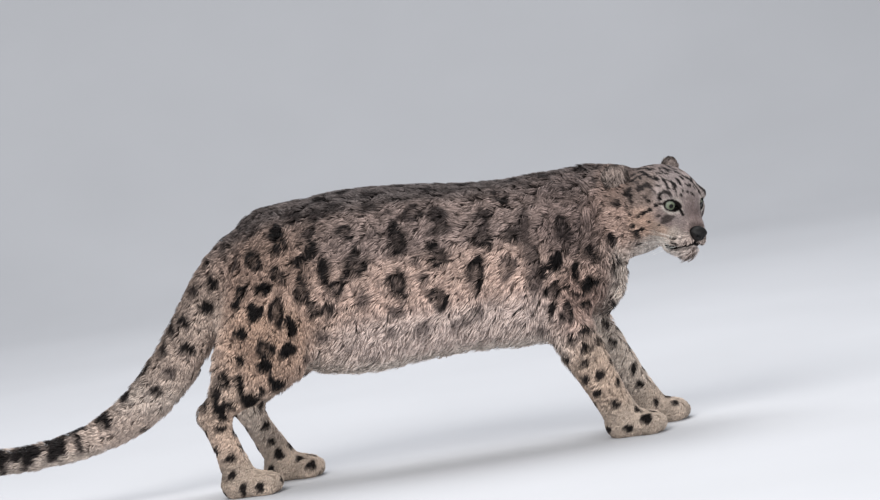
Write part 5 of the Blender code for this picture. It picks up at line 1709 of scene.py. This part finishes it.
def triangle_shares(places, corners):
    """How much of each corner makes up each place on its triangle."""
    a, b, c = corners[:, 0], corners[:, 1], corners[:, 2]
    normals = np.cross(b - a, c - a)
    whole = (normals**2).sum(axis=1)
    first = (np.cross(c - b, places - b) * normals).sum(axis=1) / whole
    second = (np.cross(a - c, places - c) * normals).sum(axis=1) / whole
    return np.stack([first, second, 1 - first - second], axis=1)


# Face pieces

def torus_along(points, axis_at, radius_at, sides):
    """A closed round tube through a loop of points."""
    mesh = bmesh.new()
    rings = []
    for i, (point, along) in enumerate(zip(points, headings(points, looped=True))):
        outward = axis_at(i)
        outward = (outward - along * outward.dot(along)).normalized()
        ring = ring_round(point, along.cross(outward), outward, sides, *radius_at(i))
        rings.append([mesh.verts.new(place) for place in ring])
    for ring, after in zip(rings, rings[1:] + rings[:1]):
        for k in range(sides):
            mesh.faces.new((ring[k], ring[(k + 1) % sides], after[(k + 1) % sides], after[k]))
    return mesh


def lid_rim(side):
    """The dark, moist rim of the lids, a tube that lies on the eye and runs out at the tear corner."""
    outline = lid_outline(72)
    points = [on_ball(y, z, EYE_RADIUS + EYE_CLEARANCE) for y, z in outline]

    def radius_at(i):
        y, z = outline[i]
        upper = max(0.0, z / LID_ABOVE)
        return LID_EDGE * (1.0 + 0.35 * upper), LID_EDGE * (1.0 + 0.45 * upper)

    mesh = torus_along(points, lambda i: points[i].normalized(), radius_at, 10)
    mesh.transform(eye_frame(side))
    face_outward(mesh)
    return mesh


def eye_mesh(side):
    """An eyeball with a slight bulge over the iris, in the eye's own frame, looking along +X."""
    mesh = bmesh.new()
    bmesh.ops.create_uvsphere(mesh, u_segments=64, v_segments=48, radius=EYE_RADIUS)
    mesh.transform(Matrix.Rotation(math.pi / 2, 4, "Y"))
    for vertex in mesh.verts:
        if vertex.co.x > 0:
            flat = math.hypot(vertex.co.y, vertex.co.z) / IRIS_RADIUS
            vertex.co *= 1 + EYE_BULGE * max(0.0, 1 - flat**2) ** 1.5
    return mesh


def nose_mesh():
    """The nose pad: broad above, narrow below, with a groove down its middle and comma nostrils."""
    centre, radii = NOSE_PAD
    mesh = bmesh.new()
    bmesh.ops.create_icosphere(mesh, subdivisions=6, radius=1.0)
    for vertex in mesh.verts:
        x, y, z = vertex.co
        x = math.copysign(abs(x) ** 0.8, x)
        narrow = 1.0 - 0.42 * ramp(-z, -0.3, 1.0)
        y *= narrow
        middle = math.exp(-((y / 0.10) ** 2)) * ramp(x, 0.0, 0.6) * ramp(-z, -0.7, 0.3)
        x -= 0.13 * middle
        for side in (LEFT, RIGHT):
            across = (y * side - 0.50 - 0.16 * (z + 0.1)) / 0.20
            high = (z + 0.14 - 0.35 * (y * side - 0.5)) / 0.24
            pit = math.exp(-(across**2 + high**2) * 1.8) * ramp(x, 0.0, 0.4)
            x -= 0.42 * pit
            wing = math.exp(-(((y * side - 0.80) / 0.18) ** 2 + ((z + 0.05) / 0.4) ** 2))
            x += 0.05 * wing
        vertex.co = (centre[0] + x * radii[0], centre[1] + y * radii[1], centre[2] + z * radii[2])
    mesh.transform(head_matrix())
    face_outward(mesh)
    return mesh


def ear_mesh(side, columns=28, rows=22):
    """A rounded, thin-edged cup, its root sunk in the head."""
    base, tip, opening = (Vector(part) for part in EARS[side])
    up = tip - base
    height = up.length
    up.normalize()
    opening = (opening - up * opening.dot(up)).normalized()
    across = up.cross(opening)
    mesh = bmesh.new()
    layers = []
    for layer in (0, 1):
        grid = []
        for row in range(rows + 1):
            v = (row / rows) ** 0.85 * 0.99
            half_width = EAR_HALF_WIDTH * (1 - v**4) ** 0.5 * (0.92 + 0.16 * v)
            depth = EAR_DEPTH * (1 - 0.75 * v)
            line = []
            for column in range(columns + 1):
                angle = math.radians(-88 + 176 * column / columns)
                edge = 0.25 + 0.75 * math.cos(angle) ** 0.5 * (1 - v**6)
                thick = EAR_THICKNESS * edge
                wide = half_width - layer * thick * 0.6
                deep = depth - layer * thick * (0.3 + 0.7 * math.cos(angle))
                point = (
                    base
                    + up * (height * v - layer * thick * 0.7 * v)
                    + across * (wide * math.sin(angle))
                    - opening * (deep * math.cos(angle) - 0.004)
                )
                line.append(mesh.verts.new(point))
            grid.append(line)
        layers.append(grid)
    outer, inner = layers
    for r in range(rows):
        for c in range(columns):
            mesh.faces.new((outer[r][c], outer[r][c + 1], outer[r + 1][c + 1], outer[r + 1][c]))
            mesh.faces.new((inner[r][c], inner[r + 1][c], inner[r + 1][c + 1], inner[r][c + 1]))
    for c in range(columns):
        mesh.faces.new((outer[0][c], inner[0][c], inner[0][c + 1], outer[0][c + 1]))
        mesh.faces.new((outer[rows][c], outer[rows][c + 1], inner[rows][c + 1], inner[rows][c]))
    for r in range(rows):
        mesh.faces.new((outer[r][0], outer[r + 1][0], inner[r + 1][0], inner[r][0]))
        mesh.faces.new((outer[r][columns], inner[r][columns], inner[r + 1][columns], outer[r + 1][columns]))
    face_outward(mesh)
    mesh.transform(head_matrix())
    return mesh


def ear_axes(side):
    """The ear's middle of base, way up, way it opens and height, in the tables' frame."""
    matrix = head_matrix()
    turn = matrix.to_3x3()
    base, tip, opening = (Vector(part) for part in EARS[side])
    up = turn @ (tip - base)
    height = up.length
    up.normalize()
    opening = turn @ opening
    opening = (opening - up * opening.dot(up)).normalized()
    return np.array(matrix @ base), np.array(up), np.array(opening), height


def ear_colours(points, normals, side):
    base, up, opening, height = ear_axes(side)
    rise = (points - base) @ up / height
    across = np.cross(up, opening)
    sideways = np.abs((points - base) @ across) / EAR_HALF_WIDTH
    inside = smooth_step(normals @ opening, 0.05, 0.45)[:, None]
    edge = np.maximum(smooth_step(rise, 0.72, 0.92), smooth_step(sideways, 0.66, 0.92))[:, None]
    back = np.array(EAR_BACK) * (1 - edge) + np.array(EAR_RIM) * edge
    front = np.array(EAR_INSIDE) * (1 - 0.75 * edge) + np.array(EAR_RIM) * 0.75 * edge
    return back * (1 - inside) + front * inside


def ear_coat(side, surface, draw):
    """Short tufts up the back of the ear, long pale ones from its inside."""
    base, up, opening, height = ear_axes(side)
    across = np.cross(up, opening)

    def way_at(points, normals):
        outward = np.sign((points - base) @ across)[:, None] * across
        inside = smooth_step(normals @ opening, 0.05, 0.45)[:, None]
        ways = up + outward * 0.25 * (1 - inside) - outward * 0.35 * inside
        ways = ways - normals * (ways * normals).sum(axis=1)[:, None]
        return unit(ways)

    def sizes_at(points):
        _, normals = surface.nearest(points)
        inside = smooth_step(normals @ opening, 0.05, 0.45)
        rise = (points - base) @ up / height
        sizes = np.zeros((len(points), 4))
        low = smooth_step(rise, 0.75, 0.25)
        sizes[:, 0] = 0.0016 + inside * low * 0.0060
        sizes[:, 1] = (0.012 + inside * 0.018 * low) * (1 - 0.45 * smooth_step(rise, 0.6, 0.95))
        sizes[:, 2] = 0.0008
        return sizes

    tufts = grown(surface, lambda centres: np.full(len(centres), EAR_DENSITY), draw, way_at, sizes_at)
    tufts["shade"] *= 1 - 0.75 * draw.random(len(tufts["shade"])) ** 2
    return tufts


def whisker(points, radius):
    """A thin tapered hair through these points."""
    centres = [Vector(row) for row in smooth_rows(points, 5)]
    rings = []
    for i, (centre, along) in enumerate(zip(centres, headings(centres))):
        side = along.cross(Vector((0, 0, 1)))
        if side.length < 0.1:
            side = along.cross(Vector((0, 1, 0)))
        side.normalize()
        size = radius * (1 - WHISKER_TAPER * i / (len(centres) - 1))
        rings.append(ring_round(centre, side, side.cross(along), 4, size, size))
    return loft(rings)


def whiskers(surface):
    """The whiskers of both sides as one bmesh."""
    draw = np.random.default_rng(SEED + 5)
    matrix = head_matrix()
    turn = matrix.to_3x3()
    meshes = []
    for side in (LEFT, RIGHT):
        for row, (height, count) in enumerate(WHISKER_ROWS):
            for k in range(count):
                start = Vector((0.116 - 0.0075 * k, side * (0.032 + 0.0022 * k), height - 0.0010 * k))
                root = surface.find_nearest(matrix @ start)[0]
                length = WHISKER_LENGTH * (0.62 + 0.10 * k) * draw.uniform(0.85, 1.1)
                rise = 0.10 - 0.16 * row + draw.normal() * 0.05
                way = Vector((-0.62 - 0.06 * k, side * (0.62 - 0.03 * k), rise)).normalized()
                droop = Vector((-0.25, -0.10 * side, -0.22 - 0.05 * row + draw.normal() * 0.03))
                points = [root - turn @ way * 0.002]
                for t in (0.33, 0.66, 1.0):
                    points.append(root + turn @ (way * length * t + droop * length * t * t))
                meshes.append(whisker(points, WHISKER_RADIUS))
    return joined(meshes)


# Materials

class Look:
    """A material with one shader, and the nodes that vary it over a piece."""

    def __init__(self, name):
        self.material = bpy.data.materials.new(name)
        self.material.use_nodes = True
        self.nodes = self.material.node_tree.nodes
        self.shader = self.nodes["Principled BSDF"]

    def node(self, kind, operation=None):
        made = self.nodes.new("ShaderNode" + kind)
        if operation:
            made.operation = operation
        return made

    def link(self, output, socket):
        self.material.node_tree.links.new(output, socket)

    def values(self, node, given):
        """Sets a node's sockets by their names."""
        for name, value in given.items():
            node.inputs[name].default_value = value

    def plain(self, colour):
        made = self.node("RGB")
        made.outputs[0].default_value = (*colour, 1)
        return made.outputs[0]

    def noise(self, scale, detail=4.0, place=None):
        """A noise over the piece's own coordinates, or over those of another output."""
        made = self.node("TexNoise")
        self.values(made, {"Scale": scale, "Detail": detail})
        self.link(place or self.node("TexCoord").outputs["Object"], made.inputs["Vector"])
        return made.outputs["Fac"]

    def spread(self, source, low, high):
        """A noise brought to a range."""
        made = self.node("MapRange")
        self.values(made, {"From Min": 0.3, "From Max": 0.7, "To Min": low, "To Max": high})
        self.link(source, made.inputs["Value"])
        return made.outputs["Result"]

    def toned(self, colour, source, low, high):
        """The colour, made darker and lighter by a noise."""
        made = self.node("VectorMath", "SCALE")
        self.link(colour, made.inputs[0])
        self.link(self.spread(source, low, high), made.inputs["Scale"])
        self.link(made.outputs["Vector"], self.shader.inputs["Base Color"])

    def roughened(self, source, low, high):
        self.link(self.spread(source, low, high), self.shader.inputs["Roughness"])

    def bumped(self, source, strength, distance):
        made = self.node("Bump")
        self.values(made, {"Strength": strength, "Distance": distance})
        self.link(source, made.inputs["Height"])
        self.link(made.outputs["Normal"], self.shader.inputs["Normal"])


def hair_material(name, roughness, sheen):
    """Colour from the vertices, varied strand by strand."""
    look = Look(name)
    colour = look.node("Attribute")
    colour.attribute_name = "Tint"
    grain = look.noise(420.0, 2.0)
    look.toned(colour.outputs["Color"], grain, 0.86, 1.12)
    look.roughened(grain, roughness - 0.08, roughness + 0.08)
    look.values(look.shader, {"Sheen Weight": sheen, "Sheen Roughness": 0.45, "Specular IOR Level": 0.05})
    look.bumped(look.noise(1600.0, 2.0), 0.25, 0.0004)
    return look.material


def skin_like_material(name, colour, roughness, scale, depth, coat=0.0):
    """Bare skin: an even colour, mottled and pebbled."""
    look = Look(name)
    mottle = look.noise(scale / 4)
    look.toned(look.plain(colour), mottle, 0.75, 1.3)
    look.roughened(mottle, roughness - 0.07, roughness + 0.07)
    look.values(look.shader, {"Coat Weight": coat, "Coat Roughness": 0.25, "Specular IOR Level": 0.22})
    look.bumped(look.noise(scale, 2.0), 0.5, depth)
    return look.material


def eye_material():
    """A pale iris with a round pupil, laid out round the eye's own +X."""
    look = Look("eye")
    split = look.node("SeparateXYZ")
    look.link(look.node("TexCoord").outputs["Object"], split.inputs[0])
    flat = look.node("CombineXYZ")
    for axis in ("Y", "Z"):
        look.link(split.outputs[axis], flat.inputs[axis])
    away = look.node("VectorMath", "LENGTH")
    look.link(flat.outputs[0], away.inputs[0])
    outward = look.node("VectorMath", "NORMALIZE")
    look.link(flat.outputs[0], outward.inputs[0])
    share = look.node("Math", "DIVIDE")
    look.link(away.outputs["Value"], share.inputs[0])
    share.inputs[1].default_value = IRIS_STOPS_REACH
    iris = look.node("ValToRGB")
    stops = iris.color_ramp.elements
    for where, _ in IRIS_STOPS[1:-1]:
        stops.new(where)
    for stop, (where, colour) in zip(stops, IRIS_STOPS):
        stop.position = where
        stop.color = (*colour, 1)
    look.link(share.outputs[0], iris.inputs[0])
    fibres = look.noise(9.0, 6.0, outward.outputs[0])
    look.toned(iris.outputs["Color"], fibres, 0.72, 1.25)
    look.roughened(look.noise(300.0), 0.10, 0.20)
    look.values(look.shader, {"Coat Weight": 0.14, "Coat Roughness": 0.03, "Specular IOR Level": 0.10})
    look.bumped(fibres, 0.06, 0.0002)
    return look.material


def floor_material():
    look = Look("floor")
    mottle = look.noise(1.5)
    look.toned(look.plain(FLOOR_COLOUR), mottle, 0.97, 1.03)
    look.roughened(mottle, 0.70, 0.85)
    look.bumped(look.noise(60.0), 0.05, 0.001)
    return look.material


# Stage, light and camera

def stage():
    """A pale floor that bends up into a backdrop."""
    profile = [(STAGE_FRONT, 0.0), (STAGE_BACK, 0.0)]
    for step in range(1, 13):
        angle = math.pi / 2 * step / 12
        profile.append((STAGE_BACK + STAGE_BEND * math.sin(angle), STAGE_BEND * (1 - math.cos(angle))))
    profile.append((STAGE_BACK + STAGE_BEND, STAGE_TOP))
    points = [(x, y, z) for y, z in profile for x in (-STAGE_HALF_WIDTH, STAGE_HALF_WIDTH)]
    faces = [(2 * i, 2 * i + 1, 2 * i + 3, 2 * i + 2) for i in range(len(profile) - 1)]
    mesh = mesh_of("floor", np.array(points), np.array(faces), 4)
    made = linked("floor", mesh)
    mesh.materials.append(floor_material())


def light(name, place, aim, size, power, colour):
    data = bpy.data.lights.new(name, "AREA")
    data.shape = "DISK"
    data.size = size
    data.energy = power
    data.color = colour
    made = linked(name, data)
    made.location = place
    made.rotation_euler = (Vector(aim) - Vector(place)).to_track_quat("-Z", "Y").to_euler()


def lit():
    bpy.context.scene.view_settings.view_transform = "Standard"
    world = bpy.data.worlds.new("studio")
    world.use_nodes = True
    world.node_tree.nodes["Background"].inputs["Color"].default_value = (0.90, 0.94, 1.0, 1)
    world.node_tree.nodes["Background"].inputs["Strength"].default_value = WORLD_LIGHT
    bpy.context.scene.world = world
    for row in LIGHTS:
        light(*row)


def camera():
    """The photo's view: level with the animal, a little above it, and rolled."""
    right, up, back = view_axes()
    data = bpy.data.cameras.new("camera")
    data.sensor_width = 36.0
    data.lens = data.sensor_width * CAMERA_DISTANCE / SCENE_WIDTH
    data.clip_end = 100.0
    made = linked("camera", data)
    placed = Matrix((right, up, back)).transposed().to_4x4()
    placed.translation = CAMERA_AIM + BOX_SHIFT + back * CAMERA_DISTANCE
    made.matrix_world = placed
    bpy.context.scene.camera = made


def smooth_mesh(form, name):
    data = mesh_from(form, name)
    data.shade_smooth()
    return data


def dressed_body():
    """The coat and the skin under it, and the skin's surface."""
    hair = hair_material("coat_hair", 0.66, 0.03)
    body, mouth = made_skin()
    skin = Surface(body.data)
    spots = placed_spots(skin)
    draw = np.random.default_rng(SEED + 2)
    tufts = grown(skin, lambda centres: coat_sizes(centres)[:, 3], draw, lies, coat_sizes, mouth)
    colours = [
        colours_at(tufts["middle"], tufts["middle_normal"], spots, mouth),
        colours_at(tufts["tip_place"], tufts["tip_normal"], spots, mouth),
    ]
    on_map, regions = map_places(body, tufts["from"])
    for index, name in enumerate(REGIONS):
        chosen = np.nonzero(regions == index)[0]
        shown(tuft_mesh("coat_" + name, tufts, chosen, colours, on_map), "coat_" + name, hair)
    mesh = body.data
    # The skin's colours, darkened by SKIN_SHADE, are painted shade under the coat
    tint(mesh, colours_at(skin.points, skin.normals, spots, mouth) * SKIN_SHADE)
    bpy.data.objects.remove(body)
    piece = shown(mesh, "skin", hair_material("skin", 0.85, 0.0))
    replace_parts(piece, *flesh_names())
    return skin, piece


def dressed_eye(side, rim, iris):
    name = SIDE_NAMES[side]
    shown(smooth_mesh(lid_rim(side), "lids_" + name), "lids_" + name, rim)
    eye = shown(smooth_mesh(eye_mesh(side), "eyeball_" + name), "eyeball_" + name, iris)
    eye.data.transform(Matrix.Translation(-BOX_SHIFT))
    eye.matrix_world = Matrix.Translation(BOX_SHIFT) @ eye_frame(side)
    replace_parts(eye, "eye_" + name)


def dressed_ear(side, hair, under):
    name = SIDE_NAMES[side]
    cup = smooth_mesh(ear_mesh(side), "ear_cup_" + name)
    surface = Surface(cup)
    tint(cup, ear_colours(surface.points, surface.normals, side) * EAR_CUP_SHADE)
    tufts = ear_coat(side, surface, np.random.default_rng(SEED + 3 + side))
    tints = ear_colours(tufts["from"], tufts["normal"], side)
    everyone = np.arange(len(tufts["root"]))
    on_map = unwrapped(surface.points, surface.triangles, tufts["from"])
    fringe = tuft_mesh("ear_coat_" + name, tufts, everyone, [tints] * 2, on_map)
    shown(fringe, "ear_coat_" + name, hair)
    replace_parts(shown(cup, "ear_cup_" + name, under), "ear_" + name)


def dressed_face(skin, under):
    """Lids, eyes, ears, nose pad and whiskers."""
    hair = hair_material("ear_hair", 0.64, 0.03)
    rim = skin_like_material("lid", LID_COLOUR, 0.35, 1500.0, 0.0002, 0.3)
    iris = eye_material()
    for side in (LEFT, RIGHT):
        dressed_eye(side, rim, iris)
        dressed_ear(side, hair, under)
    leather = skin_like_material("nose", NOSE_COLOUR, 0.55, 900.0, 0.0005)
    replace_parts(shown(smooth_mesh(nose_mesh(), "nose"), "nose", leather), "nose_pad")
    horn = skin_like_material("whisker", WHISKER_COLOUR, 0.40, 400.0, 0.0001)
    shown(smooth_mesh(whiskers(skin.tree), "whiskers"), "whiskers", horn)


def main():
    skin, piece = dressed_body()
    dressed_face(skin, piece.data.materials[0])
    stage()
    lit()
    camera()


main()
